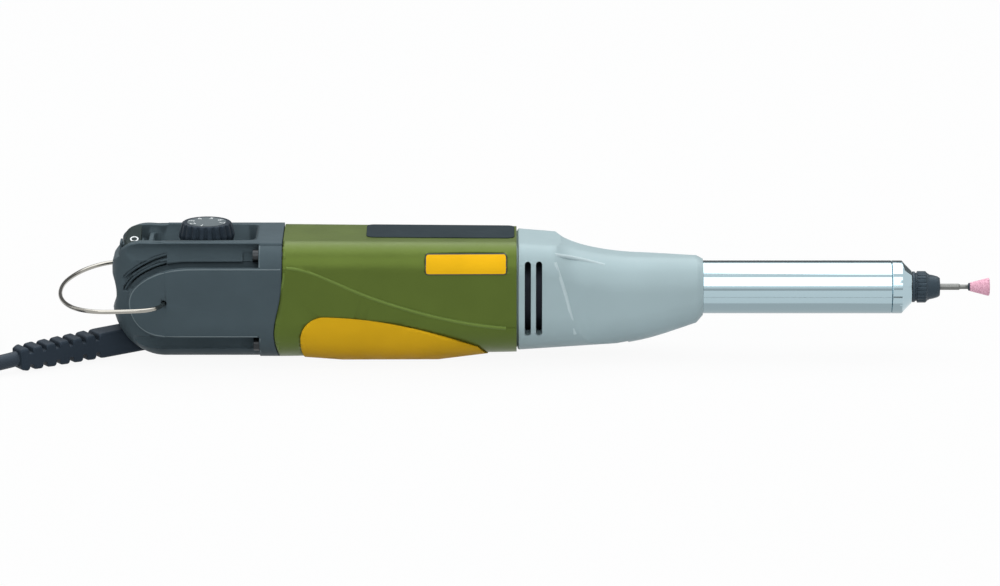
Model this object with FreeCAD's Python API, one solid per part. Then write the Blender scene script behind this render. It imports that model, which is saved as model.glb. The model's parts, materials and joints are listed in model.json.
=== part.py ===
import FreeCAD, Part
import math
import os

# A corded straight grinder with a long steel neck, lying on its underside.
# Frame: +X along the spindle towards the tool, +Z up, -Y the side with the badge.
# The surface it lies on is z = 0, and x = 0 is midway between the bail's tip and the stone's tip.
# All sizes are in millimetres.

V = FreeCAD.Vector
PARTS = "parts"
os.makedirs(PARTS, exist_ok=True)

# Fits and gaps
RUNNING = 0.04
SEATED = 0.05
CLEAR = 0.3
SEAM = 0.35

# Lengths along the spindle, from the rear
BAIL_OVERHANG = 20.15
REAR_COVER_L = 64.45
MOTOR_HOUSING_L = 87.5
NOSE_L = 70.1
NECK_L = 70.9
END_RING_L = 4.0
END_TAPER_L = 4.0
NUT_L = 10.4
SHANK_OUT_L = 11.4
STONE_L = 7.4

# The housing's outer section, measured from the spindle axis
GRIP_RISE = 1.0
REAR_HALF_W = 23.0
REAR_TOP = 21.1
REAR_BOTTOM = 24.8
FRONT_HALF_W = 22.0
FRONT_TOP = 20.5
FRONT_BOTTOM = 23.2
TOP_CORNER_R = 10.5
BOTTOM_CORNER_R = 17.0
WALL = 2.4

# Seam between the rear cover and the motor housing
SEAM_WAVE = 3.3
SEAM_WAVE_DOWN = 13.0
SEAM_WAVE_SPREAD = 12.0

# Rear cover
CORE_HALF_W = 17.0
CORE_BOTTOM_R = 12.0
LIP_R = 1.0
END_SIDE_R = 12.0
CORE_SIDE_R = 13.0
COVER_SOCKET_L = 1.5
END_TOP_R = 12.0
END_BOTTOM_R = 20.5
COLLAR_L = 8.9
PLATEAU_HALF_H = 13.4
PLATEAU_NOSE_L = 23.0
RIM_T = 1.3
TRENCH_DEPTH = 1.8
TRENCH_RISE = 1.2
TRENCH_SET_IN = 1.3
COVE_R = 3.7
COVE_Y = 18.6
COVE_UP = 17.4
REST_GROOVE_H = 14.0
REST_GROOVE_DEPTH = 1.8
RECESS_HALF_W = 12.5
RECESS_DEPTH = 6.4
RECESS_CORNER_R = 3.5
RECESS_TO_COLLAR = 1.4
SWITCH_WALL_T = 1.6
SWITCH_WALL_RISE = 3.5
REAR_SLOPE = 4.0
VENT_ARC_W = 1.8
VENT_ARC_STEP = 2.5
VENT_FROM_EDGE = 0.8

# Screws
SCREW_R = 1.5
SCREW_HEAD_R = 2.5
SCREW_HEAD_L = 2.2
SOCKET_R = 1.3
POCKET_R = 2.9
POCKET_WALL = 1.2
POCKET_L = 6.0
COVER_SCREW_Y = 17.6
COVER_SCREW_UP = 16.2
COVER_SCREW_Y_LOW = 16.0
COVER_SCREW_DOWN = 18.0
NOSE_SCREW_R = 1.25
NOSE_SCREW_HEAD_R = 2.1
NOSE_POCKET_R = 2.4
NOSE_POCKET_L = 30.0
NOSE_SCREW_Y = 13.0
NOSE_SCREW_UP = 15.0
NOSE_SCREW_Y_LOW = 5.5
NOSE_SCREW_DOWN = 18.9
COVER_SCREW_L = 15.0
NOSE_SCREW_L = 21.0
NOSE_SCREW_SEAT = 12.0

# Rocker switch
SWITCH_FROM_REAR = 2.8
SWITCH_L = 10.8
SWITCH_HALF_W = 8.6
SWITCH_BODY_H = 14.0
SWITCH_GAP_L = 1.9
EAR_T = 0.8
ROCKER_HALF_W = 9.6
ROCKER_END_DOWN = 0.9
ROCKER_VEE = 2.2
ROCKER_CROWN_R = 5.5
ROCKER_DEPTH = 5.4
ROCKER_PIN_R = 0.8
ROCKER_PIVOT_DOWN = 5.0
ROCKER_TILT = 11.0

# Speed dial
DIAL_FROM_REAR = 35.45
DIAL_R = 9.45
DIAL_FLARE = 0.5
DIAL_RISE = 4.1
DIAL_FLUTES = 20
FLUTE_R = 0.8
SCALE_R = 7.4
DIAL_EDGE_R = 0.9
SCALE_T = 0.5
DIAL_SHAFT_R = 3.0
POT_SIDE = 16.0
POT_H = 6.0
POT_DOWN = 1.2
BOARD_T = 1.6
BOARD_FROM_REAR = 23.15
BOARD_PAST_COLLAR = 4.0

# Hanging bail
BAIL_FROM_REAR = 20.15
BAIL_DOWN = 0.8
BAIL_WIRE_R = 1.0
BAIL_HALF_W = 35.5
BAIL_TIP_R = 62.0
BAIL_SIDE_R = 24.0
BAIL_ROOT_R = 12.0
BAIL_IN_HOLE = 4.5
BAIL_FIT = 0.08
BAIL_BOSS_R = 4.0

# Motor
CAN_R = 18.0
CAN_WALL = 1.6
CAN_L = 56.0
CAN_FROM_SEAM = 12.0
MAGNET_T = 3.2
MAGNET_L = 36.0
MAGNET_SHIFT = 4.5
AIR_GAP = 0.6
MAGNET_HALF_ANGLE = 62.0
CORE_L = 30.0
CORE_SLOTS = 8
CORE_SLOT_W = 2.0
CORE_SLOT_DEPTH = 5.0
WINDING_L = 5.5
SHAFT_R = 2.5
SHAFT_FROM_SEAM = 2.0
COMMUTATOR_BARS = 12
COMMUTATOR_FROM_CAN = 2.5
COMMUTATOR_R = 7.0
COMMUTATOR_L = 9.0
BRUSH_L = 7.5
BRUSH_W = 5.0
BRUSH_T = 4.0
HOLDER_WALL = 1.0
SPRING_T = 0.5
WINDOW_R = 2.8
MOTOR_BEARING_R = 8.0
MOTOR_BEARING_L = 5.0
END_SHIELD_L = 8.0
FAN_R = 16.0
FAN_HUB_R = 5.0
FAN_L = 8.0
FAN_BACK_T = 1.6
FAN_BLADES = 9
FAN_BLADE_T = 1.2
FAN_FROM_NOSE = 0.8

# Crease line, grip pad and plates of the motor housing
CREASE_PROUD_REAR = 0.15
CREASE_PROUD_FRONT = 0.6
CREASE_START_UP = 12.8
CREASE_TURN = 7.5
CREASE_MID = 38.2
CREASE_MID_DOWN = 0.5
CREASE_END_DOWN = 10.9
PAD_FROM_SEAM = 6.6
PAD_CREST_FROM_SEAM = 16.0
PAD_MID_FROM_SEAM = 45.0
PAD_END_FROM_SEAM = 73.0
PAD_TIP_FROM_SEAM = 80.0
PAD_FLAT_START = 22.0
PAD_FLAT_END = 58.0
PAD_SIDE_Z = 10.0
PAD_CREST_Z = 19.7
PAD_MID_Z = 16.2
PAD_END_Z = 7.0
PAD_LOW_SET_IN = 3.0
PAD_TRIM = 0.25
PAD_PROUD = 0.8
PAD_SET_IN = 1.2
PLATE_FROM_SEAM = 31.1
PLATE_TO_NOSE = 0.9
PLATE_NEAR_Y = 7.4
PLATE_FAR_Y = 13.0
PLATE_CORNER_R = 3.0
PLATE_SET_IN = 0.5
PLATE_PROUD = 0.3
BADGE_FROM_SEAM = 53.3
BADGE_L = 30.5
BADGE_LOW_UP = 10.1
BADGE_HIGH_UP = 17.6
BADGE_CORNER_R = 1.2

# Nose housing
NOSE_STEP = 0.7
NOSE_EDGE = 0.45
BLOCK_L = 12.4
BLOCK_SIDE_DROP = 3.0
BLOCK_TOP_DROP = 6.0
BLOCK_BOTTOM_DROP = 5.0
SHOULDER_TILT = 14.0
HOLD_L = 67.7
NOSE_END_L = 2.4
NOSE_MOUTH_WALL = 0.5
SLOT_W = 2.3
SLOT_FROM_SEAM = 3.0
SLOT_PITCH = 4.2
SLOT_UP = 14.5
SLOT_DOWN = 14.0
CHAMBER_R = 17.6
CHAMBER_L = 10.5
# Sections of the hand-hold: distance from the seam, half width, top and bottom from the spindle axis,
# top and bottom corner radius, and how much of the shoulder's lean it has
SHOULDER_SECTIONS = [(2.0, 27.6, 28.5, 28.5, 14.0, 17.0, 1.0),
                     (12.5, 25.6, 25.8, 26.8, 14.0, 16.5, 1.0),
                     (17.0, 22.2, 22.4, 25.6, 13.8, 16.0, 1.0),
                     (20.5, 18.9, 19.4, 24.6, 13.5, 15.4, 1.0),
                     (26.0, 16.8, 16.4, 23.2, 13.3, 14.6, 0.9)]
HOLD_SECTIONS = [(32.5, 15.7, 14.2, 21.9, 12.8, 13.9, 0.5),
                 (40.0, 15.0, 12.9, 21.0, 12.4, 13.4, 0.0),
                 (48.0, 14.4, 12.5, 19.5, 12.0, 12.9, 0.0),
                 (56.0, 13.7, 12.2, 17.2, 11.8, 12.3, 0.0),
                 (63.0, 12.8, 11.9, 14.9, 11.4, 11.8, 0.0),
                 (HOLD_L, 12.2, 11.7, 13.3, 11.0, 11.3, 0.0)]

# Tongue-and-groove rings behind the two seams
TONGUE_IN = 1.7
TONGUE_T = 1.4
TONGUE_L = 2.0
TONGUE_ROOT = 1.0

# Neck, spindle and collet
NECK_R = 10.0
NECK_SEAT_R = 9.6
NECK_BORE_R = 7.5
NECK_INSERT_L = 22.0
NECK_BEARING_BACK = 2.0
SPINDLE_R = 4.0
SPINDLE_BEARING_R = 8.5
SPINDLE_BEARING_L = 6.0
COUPLING_R = 7.0
COUPLING_L = 16.0
END_TAPER_R = 6.2
NUT_R = 5.95
NUT_TIP_R = 3.9
NUT_FLUTES = 24
NUT_FLUTE_R = 0.3
COLLET_R = 3.0
COLLET_L = 9.0
BIT_SHANK_R = 1.175
BIT_SHANK_IN_L = 14.0
SHANK_SLIM_L = 4.2
SHANK_SLIM_R = 0.85
SHANK_COLLAR_L = 0.8
SHANK_COLLAR_R = 1.5
SPINDLE_NOSE_L = 5.0
COLLET_IN_L = 3.0
NUT_ROOM_R = 4.1
COUPLING_FROM_NOSE = 12.0
STONE_REAR_R = 1.6
STONE_FRONT_R = 3.4

# Cord, its boot and its plug
CORD_D = 5.8
BOOT_EXIT_FROM_REAR = 7.55
BOOT_EXIT_Z = 6.5
BOOT_YAW = 32.0
BOOT_DROP = 2.0
BOOT_FIRST_NOTCH = 15.8
BOOT_OUT_L = 50.0
BOOT_ROOT_L = 11.0
BOOT_ROOT_HALF = 3.2
BOOT_SHOULDER_IN = 7.0
BOOT_HALF = 4.9
BOOT_TIP_HALF = 4.3
BOOT_NOTCHES = 6
BOOT_PITCH = 5.8
BOOT_NOTCH_W = 2.1
BOOT_WEB_HALF = 2.9
CLAMP_L = 4.0
CLAMP_HALF_W = 4.1
CLAMP_BELOW = 0.8
CLAMP_ABOVE = 3.6
COIL_MEAN_R = 34.8
COIL_TURNS_WIDE = 4
COIL_TURNS_HIGH = 2
COIL_X = -248.0
COIL_Y = 5.2
LEAD_POINTS = [(-200.7, -33.1, 3.4), (-215.5, -37.9, 2.92), (-232.0, -38.6, 2.92), (-248.0, -38.3, 2.92)]
PLUG_LEAD_POINTS = [(34.0, 29.6, 8.9), (41.4, 17.6, 9.2), (43.4, 3.6, 10.8), (39.5, -10.0, 13.4),
                    (30.4, -20.8, 15.6), (17.7, -27.0, 17.6), (5.9, -27.8, 18.45)]
PLUG_HEADING = -176.1
PLUG_L = 36.0
PLUG_T = 13.7
PLUG_HALF_W = 17.6
PIN_R = 2.0
PIN_L = 19.0
PIN_SPACING = 18.6

# Places along X, from the lengths above
OVERALL_L = (BAIL_OVERHANG + REAR_COVER_L + MOTOR_HOUSING_L + NOSE_L + NECK_L + END_RING_L
             + END_TAPER_L + NUT_L + SHANK_OUT_L + STONE_L)
REAR_X = BAIL_OVERHANG - OVERALL_L / 2
SEAM_X = REAR_X + REAR_COVER_L
NOSE_X = SEAM_X + MOTOR_HOUSING_L
NECK_X = NOSE_X + NOSE_L
RING_X = NECK_X + NECK_L
TAPER_X = RING_X + END_RING_L
NUT_X = TAPER_X + END_TAPER_L
SHANK_X = NUT_X + NUT_L
STONE_X = SHANK_X + SHANK_OUT_L
TIP_X = STONE_X + STONE_L

# Heights above the surface
AXIS_Z = REAR_BOTTOM + GRIP_RISE
TOP_Z = AXIS_Z + REAR_TOP
RECESS_Z = TOP_Z - RECESS_DEPTH
COLLAR_X = SEAM_X - COLLAR_L
BAIL_X = REAR_X + BAIL_FROM_REAR
BAIL_Z = AXIS_Z - BAIL_DOWN
BOOT_EXIT_X = REAR_X + BOOT_EXIT_FROM_REAR
SWITCH_X = REAR_X + SWITCH_FROM_REAR
DIAL_X = REAR_X + DIAL_FROM_REAR
PLATE_X = SEAM_X + PLATE_FROM_SEAM
BADGE_X = SEAM_X + BADGE_FROM_SEAM
NECK_BACK_X = NECK_X - NECK_INSERT_L
SPINDLE_BEARING_X = NECK_BACK_X - SPINDLE_BEARING_L
CAN_X = SEAM_X + CAN_FROM_SEAM
SHAFT_REAR_X = SEAM_X + SHAFT_FROM_SEAM
COMMUTATOR_X = CAN_X + COMMUTATOR_FROM_CAN
ARMATURE_R = CAN_R - CAN_WALL - MAGNET_T - AIR_GAP
ARMATURE_X = CAN_X + (CAN_L - CORE_L) / 2 + MAGNET_SHIFT
FAN_X = NOSE_X + FAN_FROM_NOSE
COUPLING_X = NOSE_X + COUPLING_FROM_NOSE
SPINDLE_END_X = NUT_X + SPINDLE_NOSE_L
COLLET_X = NUT_X - COLLET_IN_L
BIT_END_X = SHANK_X - BIT_SHANK_IN_L
POT_TOP_Z = RECESS_Z - WALL - POT_DOWN
BOARD_CHIP_X = REAR_X + BOARD_FROM_REAR + 3
ROCKER_Z = TOP_Z - ROCKER_PIVOT_DOWN


def box(x0, x1, y0, y1, z0, z1):
    return Part.makeBox(x1 - x0, y1 - y0, z1 - z0, V(x0, y0, z0))


def rod(r, x0, x1, y=0.0, up=0.0):
    """A cylinder along X, its centre line y to the side and up above the spindle axis."""
    return Part.makeCylinder(r, x1 - x0, V(x0, y, AXIS_Z + up), V(1, 0, 0))


def sleeve(r_out, r_in, x0, x1):
    return rod(r_out, x0, x1).cut(rod(r_in, x0, x1))


def turned(profile):
    """A body turned about the spindle axis from (x, radius) corners."""
    corners = [V(x, 0, AXIS_Z + r) for x, r in profile]
    face = Part.Face(Part.makePolygon(corners + corners[:1]))
    return face.revolve(V(0, 0, AXIS_Z), V(1, 0, 0), 360)


def around_spindle(shape, count, first=0.0):
    """Copies of a shape, evenly spaced about the spindle axis."""
    copies = []
    for i in range(count):
        copy = shape.copy()
        copy.rotate(V(0, 0, AXIS_Z), V(1, 0, 0), first + 360.0 * i / count)
        copies.append(copy)
    return copies


def fuse(shapes):
    return shapes[0].multiFuse(shapes[1:])


def cut(shape, tools):
    """A shape with all the tools taken away."""
    for tool in tools:
        shape = shape.cut(tool)
    return shape


def corner(cy, cz, r, x, start):
    """A quarter arc of a section across the spindle, going round clockwise."""
    half = math.radians(start - 45)
    end = math.radians(start - 90)
    begin = math.radians(start)
    points = [V(x, cy + r * math.cos(a), cz + r * math.sin(a)) for a in (begin, half, end)]
    return Part.Arc(*points).toShape()


def section(x, half_w, top, bottom, top_r, bottom_r, tilt=0.0):
    """A rounded outline across the spindle; top and bottom are measured from its axis."""
    high = AXIS_Z + top
    low = AXIS_Z - bottom
    a, b = top_r, bottom_r
    line = Part.makeLine
    edges = [
        line(V(x, a - half_w, high), V(x, half_w - a, high)),
        corner(half_w - a, high - a, a, x, 90),
        line(V(x, half_w, high - a), V(x, half_w, low + b)),
        corner(half_w - b, low + b, b, x, 0),
        line(V(x, half_w - b, low), V(x, b - half_w, low)),
        corner(b - half_w, low + b, b, x, -90),
        line(V(x, -half_w, low + b), V(x, -half_w, high - a)),
        corner(a - half_w, high - a, a, x, 180),
    ]
    wire = Part.Wire(edges)
    wire.rotate(V(x, 0, AXIS_Z), V(0, 1, 0), tilt)
    return wire


def body_size(x):
    """Half width, top and bottom of the main housing, which tapers forward of the seam."""
    t = max(0.0, (x - SEAM_X) / MOTOR_HOUSING_L)
    return (REAR_HALF_W + (FRONT_HALF_W - REAR_HALF_W) * t,
            REAR_TOP + (FRONT_TOP - REAR_TOP) * t,
            REAR_BOTTOM + (FRONT_BOTTOM - REAR_BOTTOM) * t)


def body_section(x, grow=0.0):
    half_w, top, bottom = body_size(x)
    return section(x, half_w + grow, top + grow, bottom + grow,
                   TOP_CORNER_R + grow, BOTTOM_CORNER_R + grow)


def body_solid(x0, x1, grow=0.0):
    """The main housing's outer form between two places, grown or shrunk all round."""
    stops = [x0] + ([SEAM_X] if x0 < SEAM_X < x1 else []) + [x1]
    pieces = []
    for a, b in zip(stops, stops[1:]):
        pieces.append(Part.makeLoft([body_section(a, grow), body_section(b, grow)], True, True))
    return fuse(pieces) if len(pieces) > 1 else pieces[0]


def side_prism(wire_edges, half_w):
    """A prism across the part from edges drawn in the plane y = 0."""
    face = Part.Face(Part.Wire(wire_edges))
    face.translate(V(0, -half_w, 0))
    return face.extrude(V(0, 2 * half_w, 0))


def behind_seam(shift):
    """All that lies behind the wavy seam of the rear cover, moved along by a shift."""
    high = REAR_TOP + 6
    low = -REAR_BOTTOM - 6
    steps = 10
    points = []
    for i in range(steps + 1):
        up = high + (low - high) * i / steps
        back = SEAM_WAVE * math.exp(-((up + SEAM_WAVE_DOWN) / SEAM_WAVE_SPREAD) ** 2)
        points.append(V(SEAM_X + shift - back, 0, AXIS_Z + up))
    wave = Part.BSplineCurve()
    wave.interpolate(points)
    rear = REAR_X - 10
    corners = [points[-1], V(rear, 0, points[-1].z), V(rear, 0, points[0].z), points[0]]
    edges = [wave.toShape()]
    for a, b in zip(corners, corners[1:]):
        edges.append(Part.makeLine(a, b))
    return side_prism(edges, REAR_HALF_W + 5)


def round_off(radius, d):
    """How far a quarter-round end stands back from its side, at a distance d from the end."""
    if d >= radius:
        return 0.0
    return radius - math.sqrt(radius ** 2 - (radius - d) ** 2)


def rounded_end(half_w, side_r, top_r, bottom_r, shrink=0.0):
    """The rear of the cover from its rounded end to the seam."""
    def outline(d):
        w = half_w - round_off(side_r, d)
        top = REAR_TOP - shrink - round_off(END_TOP_R, d)
        bottom = REAR_BOTTOM - shrink - round_off(END_BOTTOM_R, d)
        most = 0.46 * (top + bottom)
        return section(REAR_X + shrink + d, w, top, bottom,
                       min(top_r, most, 0.8 * w), min(bottom_r, most, 0.8 * w))
    longest = max(side_r, END_TOP_R, END_BOTTOM_R)
    rounds = Part.makeLoft([outline(longest * t ** 2) for t in (0, 0.2, 0.4, 0.6, 0.8, 1)], True, False)
    straight_end = SEAM_X + COVER_SOCKET_L - REAR_X
    straight = Part.makeLoft([outline(longest), outline(straight_end)], True, True)
    return rounds.fuse(straight)


def plateau_prism(grow, front):
    """The bullet-shaped side plateau seen from the side, its lower corner round the bail's hole."""
    cx, cz = BAIL_X, BAIL_Z
    r = PLATEAU_HALF_H + grow
    rear = cx - r
    long = PLATEAU_NOSE_L + grow
    ellipse = Part.Ellipse(V(rear, 0, cz), V(rear + long, 0, cz + r), V(rear + long, 0, cz))
    crown = Part.ArcOfEllipse(ellipse, 0, math.pi / 2).toShape()
    low = Part.Arc(V(rear, 0, cz), V(cx - r * math.sqrt(0.5), 0, cz - r * math.sqrt(0.5)),
                   V(cx, 0, cz - r)).toShape()
    corners = [V(rear + long, 0, cz + r), V(front, 0, cz + r), V(front, 0, cz - r), V(cx, 0, cz - r)]
    edges = [crown]
    for a, b in zip(corners, corners[1:]):
        edges.append(Part.makeLine(a, b))
    edges.append(low)
    return side_prism(Part.__sortEdges__(edges), REAR_HALF_W + 2)


def vent_arcs():
    """Curved air slots round the upper rear corner of each plateau."""
    slots = []
    for i in range(2):
        near = VENT_ARC_STEP * i + VENT_FROM_EDGE
        ring = plateau_prism(near + VENT_ARC_W, BAIL_X + 20).cut(plateau_prism(near, BAIL_X + 30))
        for side in (-1, 1):
            y0, y1 = sorted((side * (CORE_HALF_W - WALL - 1), side * (REAR_HALF_W + 1)))
            slots.append(ring.common(box(REAR_X - 1, BAIL_X + 1, y0, y1, BAIL_Z + 3, TOP_Z)))
    return slots


def cover_screw_places():
    """Side and height of the four screws that hold the rear cover."""
    places = []
    for side in (-1, 1):
        places.append((side * COVER_SCREW_Y, COVER_SCREW_UP))
        places.append((side * COVER_SCREW_Y_LOW, -COVER_SCREW_DOWN))
    return places


def nose_screw_places():
    """Side and height of the nose housing's screws: one high on the far side and two underneath."""
    return [(NOSE_SCREW_Y, NOSE_SCREW_UP),
            (NOSE_SCREW_Y_LOW, -NOSE_SCREW_DOWN),
            (-NOSE_SCREW_Y_LOW, -NOSE_SCREW_DOWN)]


def screw(x, y, up, way, length, shank_r, head_r):
    """A socket-head screw along X, its head's underside at x and its shank going the given way."""
    head = Part.makeCylinder(head_r, SCREW_HEAD_L, V(x, y, AXIS_Z + up), V(-way, 0, 0))
    shank = Part.makeCylinder(shank_r, length, V(x, y, AXIS_Z + up), V(way, 0, 0))
    outer_end = V(x - way * SCREW_HEAD_L, y, AXIS_Z + up)
    socket = Part.makeCylinder(SOCKET_R, SCREW_HEAD_L * 0.6, outer_end, V(way, 0, 0))
    return head.fuse(shank).cut(socket)


def boot_placed(shape):
    """Turns a shape built along -X from the origin into the boot's direction at its exit."""
    shape = shape.copy()
    shape.rotate(V(0, 0, 0), V(0, 1, 0), -BOOT_DROP)
    shape.rotate(V(0, 0, 0), V(0, 0, 1), BOOT_YAW)
    shape.translate(V(BOOT_EXIT_X, 0, BOOT_EXIT_Z))
    return shape


def rear_cover():
    """The cover: a core with a bullet-shaped plateau on each side and a collar at the seam."""
    envelope = rounded_end(REAR_HALF_W, END_SIDE_R, TOP_CORNER_R, BOTTOM_CORNER_R)
    core = rounded_end(CORE_HALF_W, CORE_SIDE_R, LIP_R, CORE_BOTTOM_R)
    plateau = envelope.common(plateau_prism(0, SEAM_X))
    collar = body_solid(COLLAR_X, SEAM_X + COVER_SOCKET_L)
    outer = fuse([core, plateau, collar]).common(behind_seam(-SEAM / 2))
    return cut(outer, cover_hollows() + cover_openings() + cover_coves() + vent_arcs() + [tongue_groove()])


def cover_hollows():
    """The rooms inside the cover, under the recess and behind each plateau."""
    ceiling = RECESS_Z - WALL
    room = rounded_end(CORE_HALF_W - WALL, CORE_SIDE_R - WALL, LIP_R, CORE_BOTTOM_R - WALL, WALL)
    room = room.common(box(REAR_X, SEAM_X + 9, -REAR_HALF_W, REAR_HALF_W, 0, ceiling))
    sides = rounded_end(REAR_HALF_W - WALL, END_SIDE_R, TOP_CORNER_R, BOTTOM_CORNER_R, WALL)
    sides = sides.common(plateau_prism(-WALL - TRENCH_DEPTH, SEAM_X + 9))
    boss = Part.makeCylinder(BAIL_BOSS_R, 2 * REAR_HALF_W, V(BAIL_X, -REAR_HALF_W, BAIL_Z), V(0, 1, 0))
    walls = [rod(POCKET_R + POCKET_WALL, REAR_X, SEAM_X + 9, y, up) for y, up in cover_screw_places()]
    return [cut(room, walls), cut(sides, [boss] + walls)]


def cover_coves():
    """On each side a cove under the upper lip and a trench behind the plateau's raised rim."""
    inner = CORE_HALF_W - TRENCH_SET_IN
    core = rounded_end(inner, CORE_SIDE_R - TRENCH_SET_IN, LIP_R, CORE_BOTTOM_R, TRENCH_SET_IN)
    rim = rounded_end(REAR_HALF_W - RIM_T, END_SIDE_R - RIM_T, TOP_CORNER_R, BOTTOM_CORNER_R, RIM_T)
    upper = box(REAR_X, COLLAR_X, -REAR_HALF_W, REAR_HALF_W, BAIL_Z + BAIL_BOSS_R, TOP_Z)
    plateau = plateau_prism(0, SEAM_X)
    inside = plateau.cut(plateau_prism(-TRENCH_DEPTH, SEAM_X + 1)).common(rim)
    outside = plateau_prism(TRENCH_RISE, SEAM_X).cut(plateau)
    coves = [part.common(upper).cut(core) for part in (inside, outside)]
    for side in (-1, 1):
        coves.append(rod(COVE_R, REAR_X - 1, COLLAR_X, side * COVE_Y, COVE_UP))
    return coves


def top_openings():
    """The dial's recess, the trough and pocket of the switch, and the low wall between them."""
    w = RECESS_HALF_W
    wall_x = SWITCH_X + SWITCH_L
    recess = box(wall_x + SWITCH_WALL_T, COLLAR_X - RECESS_TO_COLLAR, -w, w, RECESS_Z, TOP_Z + 1)
    upright = [e for e in recess.Edges if abs(e.Vertexes[0].Z - e.Vertexes[1].Z) > 1]
    recess = recess.makeFillet(RECESS_CORNER_R, upright)
    trough = box(REAR_X - 1, wall_x, -w, w, RECESS_Z, TOP_Z + 1)
    over_wall = box(wall_x - 1, wall_x + SWITCH_WALL_T + RECESS_CORNER_R, -w, w,
                    RECESS_Z + SWITCH_WALL_RISE, TOP_Z + 1)
    pocket = box(SWITCH_X, wall_x, -SWITCH_HALF_W, SWITCH_HALF_W,
                 ROCKER_Z - SWITCH_BODY_H - CLEAR, RECESS_Z + 1)
    corners = [V(REAR_X - 1, 0, RECESS_Z - REAR_SLOPE), V(SWITCH_X, 0, RECESS_Z),
               V(SWITCH_X, 0, TOP_Z + 1), V(REAR_X - 1, 0, TOP_Z + 1)]
    slope = side_prism(Part.makePolygon(corners + corners[:1]).Edges, w)
    return [recess, trough, over_wall, pocket, slope]


def cover_openings():
    """Openings on top, rest groove, screw pockets and the holes of bail, boot, dial and screws."""
    groove_r = (REST_GROOVE_H ** 2 / 4 + REST_GROOVE_DEPTH ** 2) / (2 * REST_GROOVE_DEPTH)
    groove = Part.makeCylinder(groove_r, 2 * REAR_HALF_W,
                               V(REAR_X + REST_GROOVE_DEPTH - groove_r, -REAR_HALF_W, AXIS_Z), V(0, 1, 0))
    holes = top_openings() + [groove]
    for side in (-1, 1):
        start = V(BAIL_X, side * (REAR_HALF_W - BAIL_IN_HOLE - CLEAR), BAIL_Z)
        holes.append(Part.makeCylinder(BAIL_WIRE_R + BAIL_FIT, REAR_HALF_W, start, V(0, side, 0)))
    for y, up in cover_screw_places():
        pocket_x = COLLAR_X - POCKET_L if up > 0 else REAR_X - 1
        holes.append(rod(POCKET_R, pocket_x, COLLAR_X, y, up))
        holes.append(rod(SCREW_R + SEATED, COLLAR_X - 1, SEAM_X + 9, y, up))
    holes.append(Part.makeCylinder(DIAL_SHAFT_R + CLEAR, 2 * WALL + 2, V(DIAL_X, 0, RECESS_Z - 2 * WALL)))
    holes.append(boot_hole())
    return holes


def body_ring(x0, x1, fit=0.0):
    """A ring that follows the main housing's outline from the inside, made larger by a fit."""
    outer = body_solid(x0, x1, fit - TONGUE_IN)
    return outer.cut(body_solid(x0 - 1, x1 + 1, -TONGUE_IN - TONGUE_T - fit))


def wavy_ring(ahead, behind, fit=0.0):
    """The part of that ring between two places ahead of and behind the wavy seam."""
    ring = body_ring(SEAM_X - SEAM_WAVE - behind - 1, SEAM_X + ahead + 1, fit)
    return ring.common(behind_seam(ahead)).cut(behind_seam(-behind))


def tongue_groove():
    return wavy_ring(SEAM, SEAM / 2 + TONGUE_L + SEAM, SEATED)


def crease_edges(depth_below):
    """Side view of all that lies below the raised crease line of the motor housing."""
    start = V(SEAM_X - SEAM_WAVE - 2, 0, AXIS_Z + CREASE_START_UP)
    first = V(SEAM_X + CREASE_TURN, 0, AXIS_Z + CREASE_START_UP)
    middle = V(SEAM_X + CREASE_MID, 0, AXIS_Z - CREASE_MID_DOWN)
    last = V(NOSE_X, 0, AXIS_Z - CREASE_END_DOWN)
    low = AXIS_Z - depth_below
    return [Part.makeLine(start, first),
            Part.Arc(first, middle, last).toShape(),
            Part.makeLine(last, V(last.x, 0, low)),
            Part.makeLine(V(last.x, 0, low), V(start.x, 0, low)),
            Part.makeLine(V(start.x, 0, low), start)]


def pad_edges(low):
    """Side view of the grip pad: rounded at the rear, a crest, then falling away forward."""
    rear = SEAM_X + PAD_FROM_SEAM
    foot = V(rear + PAD_LOW_SET_IN, 0, low)
    side = V(rear, 0, PAD_SIDE_Z)
    crest = V(SEAM_X + PAD_CREST_FROM_SEAM, 0, PAD_CREST_Z)
    low_bend = V(rear + 0.22 * PAD_LOW_SET_IN, 0, 0.4 * PAD_SIDE_Z)
    high_bend = V(rear + 0.28 * (crest.x - rear), 0, PAD_SIDE_Z + 0.74 * (PAD_CREST_Z - PAD_SIDE_Z))
    middle = V(SEAM_X + PAD_MID_FROM_SEAM, 0, PAD_MID_Z)
    end = V(SEAM_X + PAD_END_FROM_SEAM, 0, PAD_END_Z)
    tip = V(SEAM_X + PAD_TIP_FROM_SEAM, 0, low)
    return [Part.Arc(foot, low_bend, side).toShape(),
            Part.Arc(side, high_bend, crest).toShape(),
            Part.Arc(crest, middle, end).toShape(),
            Part.makeLine(end, tip),
            Part.makeLine(tip, foot)]


def grip_pad():
    """The soft pad under the motor housing, set into it, a little proud, with a flat to lie on."""
    prism = side_prism(pad_edges(-2), REAR_HALF_W + 5)

    def outer(from_seam, bottom):
        half_w, top, _ = body_size(SEAM_X + from_seam)
        return section(SEAM_X + from_seam, half_w + PAD_PROUD, top, bottom, TOP_CORNER_R, BOTTOM_CORNER_R)
    tip_bottom = body_size(SEAM_X + PAD_TIP_FROM_SEAM)[2]
    outlines = [outer(PAD_FROM_SEAM - 1, REAR_BOTTOM), outer(PAD_FLAT_START, AXIS_Z + PAD_TRIM),
                outer(PAD_FLAT_END, AXIS_Z + PAD_TRIM), outer(PAD_TIP_FROM_SEAM, tip_bottom)]
    spans = [Part.makeLoft([a, b], True, True) for a, b in zip(outlines, outlines[1:])]
    below = box(SEAM_X, NOSE_X, -REAR_HALF_W, REAR_HALF_W, -2, 0)
    body = fuse(spans).common(prism).cut(below)
    return body.cut(body_solid(SEAM_X - 1, NOSE_X + 1, -PAD_SET_IN))


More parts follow.
